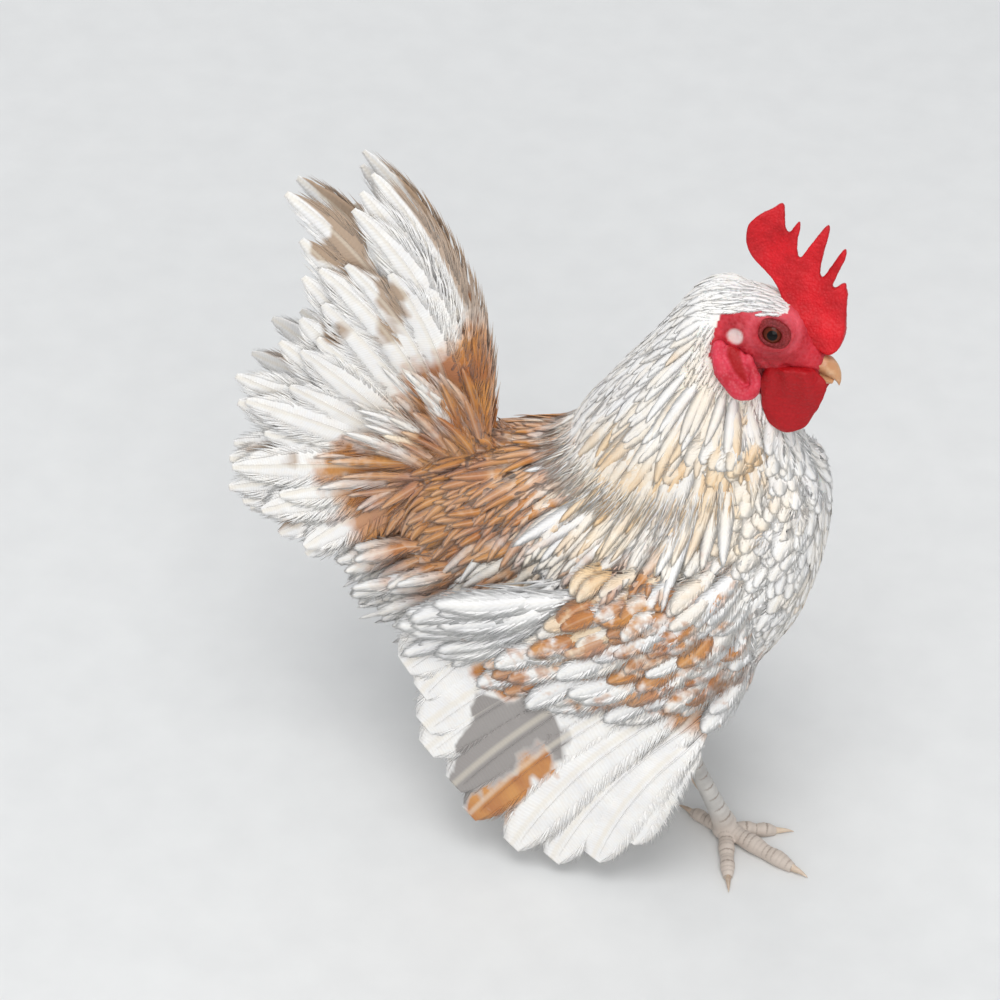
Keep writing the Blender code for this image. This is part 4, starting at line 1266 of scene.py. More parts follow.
def make_cape(draw, spacing, finish, tree, roots):
    """Short feathers behind the comb, growing longer down the neck."""
    coat = Coat(draw, 6, small_form, HACKLE_FORM)

    def cape(place, _):
        return 0 if on_head(place) or not on_cape(place) else spacing

    for place, _ in scatter(roots, cape, draw):
        down = min((208 - place.z) / 58, 1.0)
        turn = math.radians(neck_angle(place))
        outwards = 0.16 * side_of(place) * math.sin(turn)
        heading = Vector((-0.38 * math.sin(turn) - 0.42 * math.cos(turn), outwards, -1.0))
        heading.x -= 1.2 * (1 - down) ** 3 + 0.4 * float(step_between(160, 142, place.z))
        heading += jitter(draw, 0.07)
        base = float(step_between(178, 156, place.z)) * (place.z > NECK_FOOT)
        length = (9 + 36 * down + 12 * base) * draw.uniform(0.85, 1.12)
        rise = 0.6 + (0.8 * down + base) * draw.uniform(0.7, 1.1)
        path = laid_path(tree, place, heading, length, sink=0.6, rise=rise, cling=0.5 - 0.3 * base, steps=11,
                         roll=draw.uniform(-0.08, 0.08), curl=draw.uniform(-0.35, 0.35))
        width = (2.9 + 4.1 * down) * draw.uniform(0.8, 1.2)
        coat.add(path, width, unwrap_place(place), marks=coat_marks(path, draw, 0.4))
    coat.piece("hackle_feathers", finish, ["neck"])


def make_saddle(draw, spacing, finish, tree, roots):
    """Finer, looser feathers over the back, falling past the wings to the tail's root."""
    coat = Coat(draw, 6, small_form, SADDLE_FORM)

    def rump(place, _):
        low, high, _ = read_within(BODY, place.x)
        on_top = place.z > low + 0.4 * (high - low) and place.z < NECK_FOOT
        return spacing if -84 < place.x < -34 and on_top else 0

    for place, _ in scatter(roots, rump, draw):
        slope = min(abs(place.y) / 24, 1)
        heading = Vector((-1.0, 0.12 * side_of(place), -0.85 * slope - 0.1)) + jitter(draw, 0.12)
        length = (24 + 17 * slope) * draw.uniform(0.75, 1.15)
        path = laid_path(tree, place, heading, length, sink=0.6, rise=2.6 * draw.uniform(0.5, 1.3), cling=0.3,
                         steps=10, roll=draw.uniform(-0.2, 0.2), curl=draw.uniform(-0.5, 0.5), power=0.7)
        width = 5.8 * draw.uniform(0.75, 1.2)
        coat.add(path, width, unwrap_place(place), marks=coat_marks(path, draw, 0.4))
    coat.piece("saddle_feathers", finish, ["saddle"])


def make_hackles(settings, tree, roots):
    """The cape and the saddle."""
    draw = random.Random(21)
    finish = feather_finish("hackle_feathers", settings, barbs=26.0, slant=4.0, patchy=0.6, shaft=0.2)
    spacing = 2.05 / math.sqrt(settings.density)
    make_cape(draw, spacing, finish, tree, roots)
    make_saddle(draw, spacing, finish, tree, roots)


def make_crown(settings, tree, roots):
    """Small feathers on the crown, the nape and the edges of the bare face."""
    draw = random.Random(31)
    finish = feather_finish("crown_feathers", settings, barbs=10.0, slant=3.0, patchy=0.5, shaft=0.1)
    coat = Coat(draw, 5, small_form, CROWN_FORM)
    spacing = 1.3 / math.sqrt(settings.density)

    def crown(place, _):
        head = BODY_TO_HEAD @ place
        elsewhere = head.length > 34 or place.z < 168 or (on_cape(place) and not on_head(place))
        return 0 if elsewhere or not feathered(head) else spacing

    for place, _ in scatter(roots, crown, draw):
        head = BODY_TO_HEAD @ place
        if head.z > 0:
            heading = HEAD_TO_BODY.to_3x3() @ Vector((-1.0, 0.25 * side_of(head), -0.35))
            length, width = 5.0 + 0.3 * max(-head.x, 0), 2.0
        else:
            heading = Vector((-0.45, 0.2 * side_of(place), -1.0))
            length, width = 7.0, 2.6
        heading += jitter(draw, 0.12)
        length *= draw.uniform(0.8, 1.2)
        path = laid_path(tree, place, heading, length, sink=0.15, rise=0.4 * draw.uniform(0.7, 1.2),
                         cling=0.9, steps=5, roll=draw.uniform(-0.15, 0.15))
        width *= draw.uniform(0.8, 1.2)
        coat.add(path, width, unwrap_place(place), marks=coat_marks(path, draw, 0.2))
    coat.piece("crown_feathers", finish, [])


def wing_half_width(x, z):
    """How far out the sheet of flight feathers lies, at a place seen from the side."""
    down = np.clip((100 - z) / 90, 0, 1.1)
    tucked = 0.02 * max(x - 6, 0) ** 2 + 0.012 * max(z - 100, 0) ** 2
    return 40 + 7 * down - 0.0006 * (x + 10) ** 2 - tucked


def wing_path(side, root, tip, lift, sag, steps, tilt=SHINGLE):
    """A path on the wing's sheet from a root to a tip, both given as x and z, as laid_path gives one."""
    root, tip = np.array(root, float), np.array(tip, float)
    span = np.linalg.norm(tip - root)
    along = (tip - root) / span
    outer = np.array((-along[1], along[0]))
    path, across, normals = [], [], []
    for i in range(steps):
        t = i / (steps - 1)
        x, z = root + along * (t * span) + outer * (sag * 4 * t * (1 - t))
        rise = lift * min(t / 0.2, 1) - 3.0 * max(0, 1 - t / 0.14)
        path.append((x, side * (wing_half_width(x, z) + rise), z))
        out = np.array((outer[0] * -math.sin(tilt), side * math.cos(tilt), outer[1] * -math.sin(tilt)))
        way = np.array((along[0], 0, along[1]))
        across.append(tuple(np.cross(out, way)))
        normals.append(tuple(out))
    return path, across, normals


def make_flights(draw, word, side, count, finish):
    """Flight feathers, let down to the floor."""
    coat = Coat(draw, 5, large_form, FLIGHT_FORM, FLIGHT_SHAFT * side)
    for i in range(count):
        place = i / (count - 1)
        root_x, root_z, tip_x, tip_z = read_table(WING_LINE, place)
        tip = np.array((tip_x, tip_z)) + [draw.uniform(-3, 3), draw.uniform(-2, 2)]
        width = FLIGHT_FORM["width"] * (1 - 0.22 * place) * draw.uniform(0.92, 1.08)
        path = wing_path(side, (root_x, root_z), tip, lift=draw.uniform(-0.4, 0.4),
                         sag=draw.uniform(-6.5, -2.5), steps=16)
        coat.add(path, width, *strip_patch(i, count))
    coat.piece(f"wing_flights_{word}", finish, [f"wing_{word}"])


def make_wing_coverts(draw, word, side, tertials, finish):
    """Soft tertials over the wing's rear, and rows of coverts over the flights' roots."""
    coat = Coat(draw, 6, small_form, COVERT_FORM)
    for i in range(tertials):
        root_x, root_z, tip_x, tip_z, lift = read_table(TERTIALS, i / (tertials - 1))
        tip = (tip_x + draw.uniform(-4, 16), tip_z + draw.uniform(-4, 4))
        root = (root_x + draw.uniform(-16, 6), root_z + draw.uniform(-2, 2))
        path = wing_path(side, root, tip, lift=lift + draw.uniform(-0.6, 0.6), sag=draw.uniform(-2, 3),
                         steps=10, tilt=SHINGLE * 1.5)
        coat.add(path, draw.uniform(10, 15), unwrap_place(Vector(path[0][0])), marks=np.zeros((2, 3)))
    for height, first, last, number, length, width, lift in COVERT_ROWS:
        for i in range(number):
            x = first + (last - first) * (i + 0.5 + draw.uniform(-0.5, 0.5)) / number
            tip = np.array((x, height + draw.uniform(-4, 4)))
            forward = float(np.clip((tip[0] + 58) / 74, 0, 1)) + draw.uniform(-0.3, 0.3)
            along = np.array((-0.88 + 0.26 * forward, -0.47 - 0.31 * forward))
            reach = min(length * draw.uniform(0.8, 1.1), (WING_FRONT - tip[0]) / -along[0])
            path = wing_path(side, tip - along * reach, tip, lift=lift + draw.uniform(-0.5, 0.5),
                             sag=draw.uniform(-2.5, 1), steps=10, tilt=SHINGLE + draw.uniform(-0.15, 0.15))
            marks = coat_marks(path, draw, 0.5, white_tips=0.15)
            marks[:, SLATE] = 0
            coat.add(path, width * draw.uniform(0.8, 1.15), unwrap_place(Vector(path[0][0])), marks=marks)
    coat.piece(f"wing_coverts_{word}", finish, [])


def make_wing_bow(draw, word, side, spacing, finish, tree, roots):
    """Short feathers on the wing's shoulder."""
    coat = Coat(draw, 6, small_form, BOW_FORM)

    def bow(place, normal):
        return spacing if place.y * side > 0 and place.z > 90 and on_bow(place, normal) else 0

    for place, _ in scatter(roots, bow, draw):
        heading = Vector((-1.0, 0, -0.6)) + jitter(draw, 0.3)
        low = float(step_between(120, 75, place.z))
        length = (14 + 4.5 * low) * draw.uniform(0.8, 1.2)
        path = laid_path(tree, place, heading, length, sink=0.8, rise=1.7 * draw.uniform(0.9, 1.2),
                         cling=0.9, steps=6, roll=draw.uniform(-0.08, 0.08))
        width = 8.8 * draw.uniform(0.85, 1.2)
        coat.add(path, width, unwrap_place(place), marks=coat_marks(path, draw, 0.5, white_tips=0.15))
    coat.piece(f"wing_bow_{word}", finish, [])


def make_wings(settings, tree, roots):
    """The flights, coverts and bow of each wing."""
    vane = feather_finish("flight_feathers", settings, barbs=70.0, slant=3.5, patchy=0.3, shaft=0.4)
    soft = feather_finish("covert_feathers", settings, barbs=16.0, slant=5.0, patchy=1.5, shaft=0.15)
    spacing = 3.1 / math.sqrt(settings.density)
    for word, side in SIDES.items():
        draw = random.Random(41 + side)
        make_flights(draw, word, side, settings.flights, vane)
        make_wing_coverts(draw, word, side, settings.tertials, soft)
        make_wing_bow(draw, word, side, spacing, soft, tree, roots)


def fan_path(side, angle, length, outwards, bend, start, steps, roll):
    """A tail feather's path from the tail's root, as laid_path gives one; it curves down by the bend."""
    out = math.radians(outwards)
    point = np.array(sided(TAIL_ROOT + Vector(start), side))
    path, across, normals = [], [], []
    for i in range(steps):
        a = math.radians(angle - bend * (i / (steps - 1)) ** 1.5)
        along = np.array((-math.cos(a) * math.cos(out), side * math.sin(out), math.sin(a) * math.cos(out)))
        up = np.array((math.sin(a), 0, math.cos(a)))
        flat = np.cross(along, up)
        flat *= side * np.sign(flat[1])
        r = math.radians(roll)
        face = flat * math.cos(r) + up * math.sin(r)
        face -= along * face.dot(along)
        face /= np.linalg.norm(face)
        path.append(tuple(point))
        across.append(tuple(np.cross(face, along)))
        normals.append(tuple(face))
        point = point + along * (length / (steps - 1))
    return path, across, normals


def make_tail_fan(draw, word, side, finish):
    """Sickles and tail feathers, with shorter ones between them."""
    table = np.array([(i, *row) for i, row in enumerate(TAIL_FAN)], float)
    coat = Coat(draw, 6, large_form, TAIL_FORM, TAIL_SHAFT * side)
    count = 2 * len(TAIL_FAN) - 1
    for i in range(count):
        between = i % 2
        angle, length, width, outwards, bend, x, out, z, brown = read_table(table, i / 2)
        length *= draw.uniform(0.72, 0.96) if between else draw.uniform(0.96, 1.03)
        path = fan_path(side, angle + draw.uniform(-2.5, 2.5), length, outwards + between * 1.5,
                        bend + draw.uniform(-4, 4), (x, out + 0.5 * between, z), steps=18,
                        roll=7.0 + draw.uniform(-4, 4))
        vane = (float(np.clip(brown, 0, 1)) * (0.6 if between else 1.0), side)
        coat.add(path, width * draw.uniform(1.1, 1.35), *strip_patch(i, count), vane=vane)
    coat.piece(f"tail_{word}_feathers", finish, [f"tail_{word}"])


def make_tail_coverts(draw, word, side, count, finish):
    """Soft feathers round the fan's root."""
    coat = Coat(draw, 6, small_form, TAIL_COVERT_FORM)
    for _ in range(count):
        angle = draw.uniform(-56, 88)
        outwards = draw.uniform(3, 20)
        high = float(step_between(30, 80, angle))
        start = (draw.uniform(-2, 6) + 7 * high, draw.uniform(0, 3.0), draw.uniform(-7, 5) + 4 * high)
        length = draw.uniform(20, 46) * (0.75 if angle < -20 else 1.0)
        path = fan_path(side, angle, length, outwards, draw.uniform(5, 40), start, steps=8,
                        roll=draw.uniform(-6, 20))
        width = draw.uniform(5.5, 8.5)
        coat.add(path, width, unwrap_place(Vector(path[0][0])), marks=coat_marks(path, draw, 0.3))
    coat.piece(f"tail_{word}_coverts", finish, [])


def make_tail(settings):
    """Both halves of the upright fan, with soft coverts at their roots."""
    vane = feather_finish("tail_feathers", settings, barbs=80.0, slant=3.0, shaft=0.4, dark=settings.umber)
    soft = feather_finish("tail_coverts", settings, barbs=18.0, slant=4.0, shaft=0.2, dark=settings.umber)
    for word, side in SIDES.items():
        draw = random.Random(51 + side)
        make_tail_fan(draw, word, side, vane)
        make_tail_coverts(draw, word, side, settings.tail_coverts, soft)


# Head

def smooth_outline(points, steps):
    """A closed outline through points, rounded between them."""
    ring = [np.array(p, float) for p in points]
    count = len(ring)
    found = []
    for i in range(count):
        a, b, c, d = (ring[(i + k) % count] for k in (-1, 0, 1, 2))
        for s in range(steps):
            t = s / steps
            found.append(0.5 * ((2 * b) + (c - a) * t + (2 * a - 5 * b + 4 * c - d) * t * t
                                + (3 * b - a - 3 * c + d) * t ** 3))
    return found


def make_comb(settings):
    """The single comb: its outline filled, given thickness, rounded and set wavy on the skull."""
    curve = bpy.data.curves.new("comb_outline", "CURVE")
    curve.dimensions = "2D"
    curve.fill_mode = "BOTH"
    curve.extrude = settings.comb_thickness / MM / 2
    outline_points = smooth_outline(COMB_TOP + COMB_FRONT + COMB_BACK[::-1], 3)
    spline = curve.splines.new("POLY")
    spline.points.add(len(outline_points) - 1)
    for point, (x, z) in zip(spline.points, outline_points):
        point.co = (x, z, 0, 1)
    spline.use_cyclic_u = True
    bm = bmesh.new()
    bm.from_mesh(evaluated_mesh(linked("comb_outline", curve)))
    bmesh.ops.remove_doubles(bm, verts=bm.verts, dist=0.001)
    remeshed(bm, COMB_VOXEL, 4)
    for vert in bm.verts:
        x, height, depth = vert.co.x, vert.co.y, -vert.co.z
        thicker = 2.0 - min(max(height / 26, 0), 1)
        foot = 1.4 * hill(max(height - 7, 0), 0, 3.5)
        lean = (0.9 * math.sin(x * 0.42) + 0.5 * math.sin(height * 0.35)) * step_between(8, 34, height)
        grain = 0.14 * noise.noise(Vector((x, depth * 0.5, height)) * 1.5)
        grain += 0.22 * noise.noise(Vector((x, depth, height)) * 0.5)
        out = math.copysign(1, depth) * (grain + foot * min(abs(depth), 1))
        vert.co = Vector((x + grain * 0.5, depth * thicker + out + lean, height))
    moved(bm, HEAD_TO_BODY)
    finish = red_finish("comb_flesh", settings.comb, settings.deep_flesh_and_fold_shade, settings.comb_light, 1300.0, 0.55)
    piece_from("comb_flesh", bm, finish, ["comb"])


def make_wattles(settings):
    """Two hanging lobes, thin at the edge, with soft folds."""
    # The wattles' red is darker than the comb's: painted shade, for wattles that hang in shade
    finish = red_finish("wattle_flesh", settings.wattle, settings.deep_flesh_and_fold_shade, settings.comb, 1000.0, 0.45)
    for word, side in SIDES.items():
        root = HEAD_TO_BODY @ sided(WATTLE_ROOT, side)
        bm = bmesh.new()
        rings = []
        for drop in np.linspace(WATTLE[0, 0], WATTLE[-1, 0], 30):
            forward, half, thick = read_table(WATTLE, drop)
            t = max(drop / WATTLE[-1, 0], 0)
            aside = 1.2 * side * t + 0.36 * t * math.sin(t * 5 + side)
            centre = (root.x + forward, root.y + aside, root.z - drop)
            rings.append(oval(centre, AHEAD, ACROSS, half, thick, 36, 2.0))
        loft(bm, rings)
        bm.normal_update()
        for vert in bm.verts:
            local = vert.co - root
            fold = 0.6 * math.sin(local.x * 1.05 + 0.6 * math.sin(local.z * 0.4))
            fold *= math.exp(min(local.z, 0) / 10)
            grain = 0.3 * noise.noise(local * 0.45) + 0.12 * noise.noise(local * 1.6)
            vert.co += vert.normal * (fold + grain)
            vert.co.y += side * 0.5 * math.sin(local.x * 0.3 + local.z * 0.25)
        piece_from(f"wattle_{word}_flesh", bm, finish, [f"wattle_{word}"], 1)


def make_earlobes(settings):
    """Hanging lobes: a thick rolled rim round a fold that is darkened with painted shade."""
    finish = red_finish("earlobe_flesh", settings.lobe, settings.deep_flesh_and_fold_shade, settings.lobe_light, 1100.0, 0.4,
                        folds=True)
    steps = np.linspace(0, len(LOBE_RIM) - 1, 40)
    table = np.array([(i, *row) for i, row in enumerate(LOBE_RIM)], float)
    tilt = Matrix.Rotation(math.radians(LOBE_TILT), 3, "Y")
    for word, side in SIDES.items():
        bm = bmesh.new()
        ball(bm, sided(LOBE_CENTRE, side), LOBE_HALF, 32, 20, tilt)
        rows = [read_table(table, step) for step in steps]
        middle = [sided(row[:3], side) for row in rows]
        rings = []
        for i, (point, row) in enumerate(zip(middle, rows)):
            along = (middle[min(i + 1, len(rows) - 1)] - middle[max(i - 1, 0)]).normalized()
            out = (ACROSS - along * ACROSS.dot(along)).normalized()
            radius = row[3] * (1 + 0.1 * math.sin(i * 0.9)) * (0.5 if i in (0, len(rows) - 1) else 1)
            rings.append(oval(point, out.cross(along), out, radius, radius * 0.9, 20, 2.0))
        loft(bm, rings)
        remeshed(bm, LOBE_VOXEL, 3)
        folds = []
        for vert in bm.verts:
            near = min((vert.co - point).length - row[3] for point, row in zip(middle, rows))
            # Painted shade: the lobe's hollow inside its rim, on its outer face, is marked to be darkened
            fold = float(step_between(0.3, 1.4, near)) if vert.co.y * side > LOBE_CENTRE.y else 0.0
            folds.append((fold, 0, 0))
            grain = 0.22 * noise.noise(vert.co * 0.5) + 0.12 * noise.noise(vert.co * 1.6)
            vert.co += vert.normal * grain
        moved(bm, HEAD_TO_BODY)
        lobe = piece_from(f"earlobe_{word}_flesh", bm, finish, [f"earlobe_{word}"])
        vector_attribute(lobe.data, "fold", folds)


def make_eyes(settings):
    """Glossy eyeballs, each with its ringed lids."""
    lids = red_finish("eyelid_skin", settings.lid, settings.lid_deep, settings.face_light, 1500.0, 0.4)
    for word, side in SIDES.items():
        place = HEAD_TO_BODY @ Matrix.Translation(sided(EYE, side))
        bm = bmesh.new()
        ball(bm, (0, 0, 0), (EYE_RADIUS,) * 3, 40, 28)
        moved(bm, place)
        piece_from(f"eyeball_{word}", bm, eye_finish(settings, word), [f"eye_{word}"])

        bm = bmesh.new()
        for radius, thick, depth in LID_RINGS:
            upright = Matrix.Translation((radius, 0, 0)) @ Matrix.Rotation(math.pi / 2, 4, "X")
            ring = bmesh.ops.create_circle(bm, segments=10, radius=thick, matrix=upright)["verts"]
            start = set(bm.verts)
            edges = [e for e in bm.edges if set(e.verts) <= set(ring)]
            bmesh.ops.spin(bm, geom=ring + edges, cent=(0, 0, 0), axis=(0, 0, 1), angle=math.tau, steps=48,
                           use_merge=True)
            for vert in [v for v in bm.verts if v in ring or v not in start]:
                turn = math.atan2(vert.co.y, vert.co.x)
                squeeze = 1 - 0.13 * math.sin(turn) ** 2
                ruck = 0.1 * noise.noise(Vector((math.cos(turn) * 3, math.sin(turn) * 3, radius)))
                vert.co = Vector((vert.co.x * 1.06, vert.co.y * squeeze, vert.co.z + depth + ruck))
        moved(bm, place @ Matrix.Rotation(math.radians(-90 * side), 4, "X"))
        remeshed(bm, LID_VOXEL, 5)
        piece_from(f"eyelids_{word}", bm, lids, [])


def make_beak(settings):
    """Upper and lower bill, with the nostrils under their flaps."""
    finish = horn_finish("beak_horn", settings.beak, settings.beak_dark, settings.beak_light, 420.0)
    for word, table in (("upper", UPPER_BEAK), ("lower", LOWER_BEAK)):
        bm = bmesh.new()
        loft(bm, head_rings(table, 28, 26, 1.9))
        for vert in bm.verts:
            for side in SIDES.values() if word == "upper" else ():
                near = vert.co - sided(NOSTRIL, side)
                share = (near.x / NOSTRIL_HALF.x) ** 2 + (near.z / NOSTRIL_HALF.z) ** 2
                if vert.co.y * side > 0:
                    vert.co.y -= side * 0.8 * math.exp(-share)
                    vert.co.y += side * 0.28 * hill(share, 2.2, 1.2)
            vert.co.z += 0.1 * noise.noise(Vector((vert.co.x * 0.6, vert.co.y * 1.5, vert.co.z * 1.5)))
        moved(bm, HEAD_TO_BODY)
        piece_from(f"bill_{word}", bm, finish, [f"beak_{word}"], 1)


# Legs

def leg_line(leg):
    return sided(leg["hock"], leg["side"]), sided(leg["ankle"], leg["side"])


def toe_heading(leg, outwards):
    angle = math.radians(leg["turn"] + outwards)
    return Vector((math.cos(angle), leg["side"] * math.sin(angle), 0))


# Thickness along a toe, as a share, and how high it arches; thickness along a shank, as a share
TOE_MARKS = np.array([
    (0.0, 1.25, 1.6),
    (0.22, 1.0, 0.9),
    (0.42, 1.12, 0.4),
    (0.6, 0.92, 0.2),
    (0.78, 1.0, 0.0),
    (1.0, 0.62, 0.0),
])
SHANK_MARKS = np.array([(0.0, 1.28), (0.12, 1.22), (0.25, 0.98), (0.6, 0.94), (0.85, 1.08), (1.0, 1.3)])
# How flat the toes are pressed, the least height of a scale, and how far a claw starts inside its toe
FLOOR_SINK, SCALE_GAP, CLAW_OVERLAP = 0.5, 0.02, 1.2


def scute_rings(path, radii, sides, plates, up_side):
    """Rings along a path, stepped into overlapping plates above, and how near a joint each point lies."""
    rings, joints = [], []
    for i, (point, radius) in enumerate(zip(path, radii)):
        along = (path[min(i + 1, len(path) - 1)] - path[max(i - 1, 0)]).normalized()
        up = (up_side - along * up_side.dot(along)).normalized()
        across = up.cross(along)
        phase = (i / (len(path) - 1) * plates) % 1.0
        ring = []
        for angle in np.linspace(0, math.tau, sides, endpoint=False):
            facing = max(math.sin(angle), 0) ** 0.5
            step = 0.1 * (phase - 0.5) * facing - 0.05 * math.exp(-(phase / 0.12) ** 2) * facing
            reach = radius * (1 + step)
            ring.append(point + across * (math.cos(angle) * reach) + up * (math.sin(angle) * reach))
            joints.append(facing * hill(min(phase, 1 - phase), 0, 0.1))
        rings.append(np.array([tuple(p) for p in ring]))
    return rings, joints


def make_foot(word, leg, finish):
    """A shank and its toes, with scutes."""
    hock, ankle = leg_line(leg)
    shares = np.linspace(-0.06, 1.0, 64)
    path = [hock.lerp(ankle, t) for t in shares]
    radii = [SHANK_RADIUS * read_table(SHANK_MARKS, float(np.clip(t, 0, 1)))[0] for t in shares]
    parts = [scute_rings(path, radii, 24, round((ankle - hock).length / SCUTE_LENGTH), AHEAD)]
    for outwards, length, radius in TOES.values():
        heading = toe_heading(leg, outwards)
        path, radii = [], []
        for t in np.linspace(0, 1, int(length * 2.2)):
            swell, rise = read_table(TOE_MARKS, t)
            size = radius * swell
            up = Vector((0, 0, size - FLOOR_SINK + rise))
            path.append(Vector((ankle.x, ankle.y, 0)) + heading * (length * t) + up)
            radii.append(size)
        parts.append(scute_rings(path, radii, 20, round(length / (SCUTE_LENGTH * 0.75)), UP))
    bm = bmesh.new()
    points, joints = [], []
    for rings, nearness in parts:
        loft(bm, rings)
        points += [tuple(p) for p in np.concatenate(rings)]
        joints += nearness
    ball(bm, (ankle.x, ankle.y, 3.2), (SHANK_RADIUS * 1.45, SHANK_RADIUS * 1.35, 3.4), 20, 14)
    remeshed(bm, LEG_VOXEL, 1)
    keep_largest(bm)
    nearest = BVHTree.FromPolygons(points, [(i, i, i) for i in range(len(points))])
    values = []
    for vert in bm.verts:
        index = nearest.find_nearest(vert.co)[2]
        low = float(step_between(16, 4, vert.co.z))
        values.append((joints[index] if index is not None else 0.0, low, 0.0))
        vert.co.z = max(vert.co.z, SCALE_GAP)
    foot = piece_from(f"leg_{word}_scales", bm, finish, [f"shank_{word}", f"foot_{word}"])
    vector_attribute(foot.data, "scute", values)


def make_claws(word, leg, finish):
    """The four claws of one foot, one at the end of each toe."""
    ankle = leg_line(leg)[1]
    bm = bmesh.new()
    for outwards, length, radius in TOES.values():
        heading = toe_heading(leg, outwards)
        end = Vector((ankle.x, ankle.y, 0)) + heading * (length - CLAW_OVERLAP)
        size = radius * TOE_MARKS[-1][1]
        rings = []
        for t in np.linspace(0, 1, 12):
            reach = max(size * 0.98 * (1 - t) ** 0.75, 0.12)
            rise = size - FLOOR_SINK + 0.5 * math.sin(t * 2.4) - 0.9 * t * t
            up = Vector((0, 0, max(rise, reach + 0.05)))
            centre = end + heading * ((CLAW_LENGTH + CLAW_OVERLAP) * t) + up
            rings.append(oval(centre, UP.cross(heading), UP, reach * 0.82, reach, 14, 2.0))
        loft(bm, rings)
    piece_from(f"claws_{word}", bm, finish, [f"claw_{word}_{toe}" for toe in TOES], 1)


def make_spur(word, leg, finish):
    """The spur, on the inner rear of the shank."""
    root = leg_line(leg)[0].lerp(leg_line(leg)[1], 0.62)
    heading = Vector((-0.78, -0.55 * leg["side"], 0.05)).normalized()
    across = heading.cross(UP).normalized()
    rings = []
    for t in np.linspace(0, 1, 10):
        out = heading * (1.0 + (SHANK_RADIUS + SPUR_LENGTH - 1.0) * t)
        reach = SPUR_RADIUS * max((1 - t) ** 0.6, 0.1)
        centre = root + out + Vector((0, 0, 0.8 * t * t))
        rings.append(oval(centre, across, heading.cross(across), reach, reach, 14, 2.0))
    bm = bmesh.new()
    loft(bm, rings)
    piece_from(f"leg_spur_{word}", bm, finish, [f"spur_{word}"], 1)


def make_legs(settings):
    """Shanks and feet with scutes, claws and spurs."""
    scales = scale_finish(settings)
    horn = horn_finish("claw_horn", settings.claw, settings.claw_dark, settings.claw_light, 700.0)
    for word, leg in LEGS.items():
        make_foot(word, leg, scales)
        make_claws(word, leg, horn)
        make_spur(word, leg, horn)


# Stage

# The camera, in the bird's frame: where it looks, and the pixel of the picture that shows that place
LOOK_AT, LOOK_PIXEL, PICTURE = Vector((-45, 0, 112.8)), (545.0, 505.0), 1000.0
AZIMUTH, ELEVATION, DISTANCE = math.radians(14), math.radians(39), 1250.0
SENSOR, LENS = 36.0, 144.0
FLOOR_HALF = 4.0
# Lights: place and side in metres, and power as a share of the key light's
LIGHTS = {
    "key_light": ((0.1, -0.45, 1.3), 0.7, 1.0),
    "fill_light": ((0.45, -1.15, 0.85), 0.9, 0.85),
    "rim_light": ((-0.5, 0.9, 0.9), 0.8, 0.4),
}
LIT_PLACE = Vector((0, 0, 0.1))


def make_camera():
    back = Vector((math.sin(AZIMUTH) * math.cos(ELEVATION), -math.cos(AZIMUTH) * math.cos(ELEVATION),
                   math.sin(ELEVATION)))
    right = Vector((math.cos(AZIMUTH), math.sin(AZIMUTH), 0))
    up = back.cross(right)
    pixel = DISTANCE / (LENS / SENSOR * PICTURE)
    aside = right * ((PICTURE / 2 - LOOK_PIXEL[0]) * pixel) + up * ((LOOK_PIXEL[1] - PICTURE / 2) * pixel)
    data = bpy.data.cameras.new("camera")
    data.sensor_width = SENSOR
    data.lens = LENS
    data.clip_start, data.clip_end = 0.05, 20.0
    camera = linked("camera", data)
    camera.location = in_row([LOOK_AT + back * DISTANCE + aside])[0]
    camera.rotation_mode = "QUATERNION"
    camera.rotation_quaternion = (-back).to_track_quat("-Z", "Y")
    bpy.context.scene.camera = camera


def add_light(name, place, size, power):
    """A square soft light that faces the bird."""
    data = bpy.data.lights.new(name, "AREA")
    data.shape = "SQUARE"
    data.size = size
    data.energy = power
    light = linked(name, data)
    light.location = place
    light.rotation_mode = "QUATERNION"
    light.rotation_quaternion = (Vector(place) - LIT_PLACE).to_track_quat("Z", "Y")


def make_stage(settings):
    """A pale floor, a soft sky and three soft lights."""
    bm = bmesh.new()
    bmesh.ops.create_grid(bm, x_segments=1, y_segments=1, size=FLOOR_HALF)
    floor = linked("floor", new_mesh("floor", bm))
    finish = Finish("floor_paper", 0.9)
    grain = finish.noise(60.0, 3.0)
    finish.set("Base Color", finish.mix(grain.between(0.3, 0.7) * 0.12, settings.floor, (0.5, 0.5, 0.5)))
    floor.data.materials.append(finish.material)
    world = bpy.data.worlds.new("sky")
    world.use_nodes = True
    background = world.node_tree.nodes["Background"]
    background.inputs["Color"].default_value = (0.93, 0.96, 1.0, 1)
    background.inputs["Strength"].default_value = settings.sky
    bpy.context.scene.world = world
    for name, (place, size, share) in LIGHTS.items():
        add_light(name, place, size, settings.key_light * share)
    bpy.context.scene.view_settings.view_transform = "Standard"


# Settings, operators and panel

def colour(name, description, value):
    return FloatVectorProperty(name=name, description=description, default=value, subtype="COLOR", min=0,
                               max=1)


def amount(name, description, value, **limits):
    return FloatProperty(name=name, description=description, default=value, **limits)


def tally(name, description, value, least):
    return IntProperty(name=name, description=description, default=value, min=least)


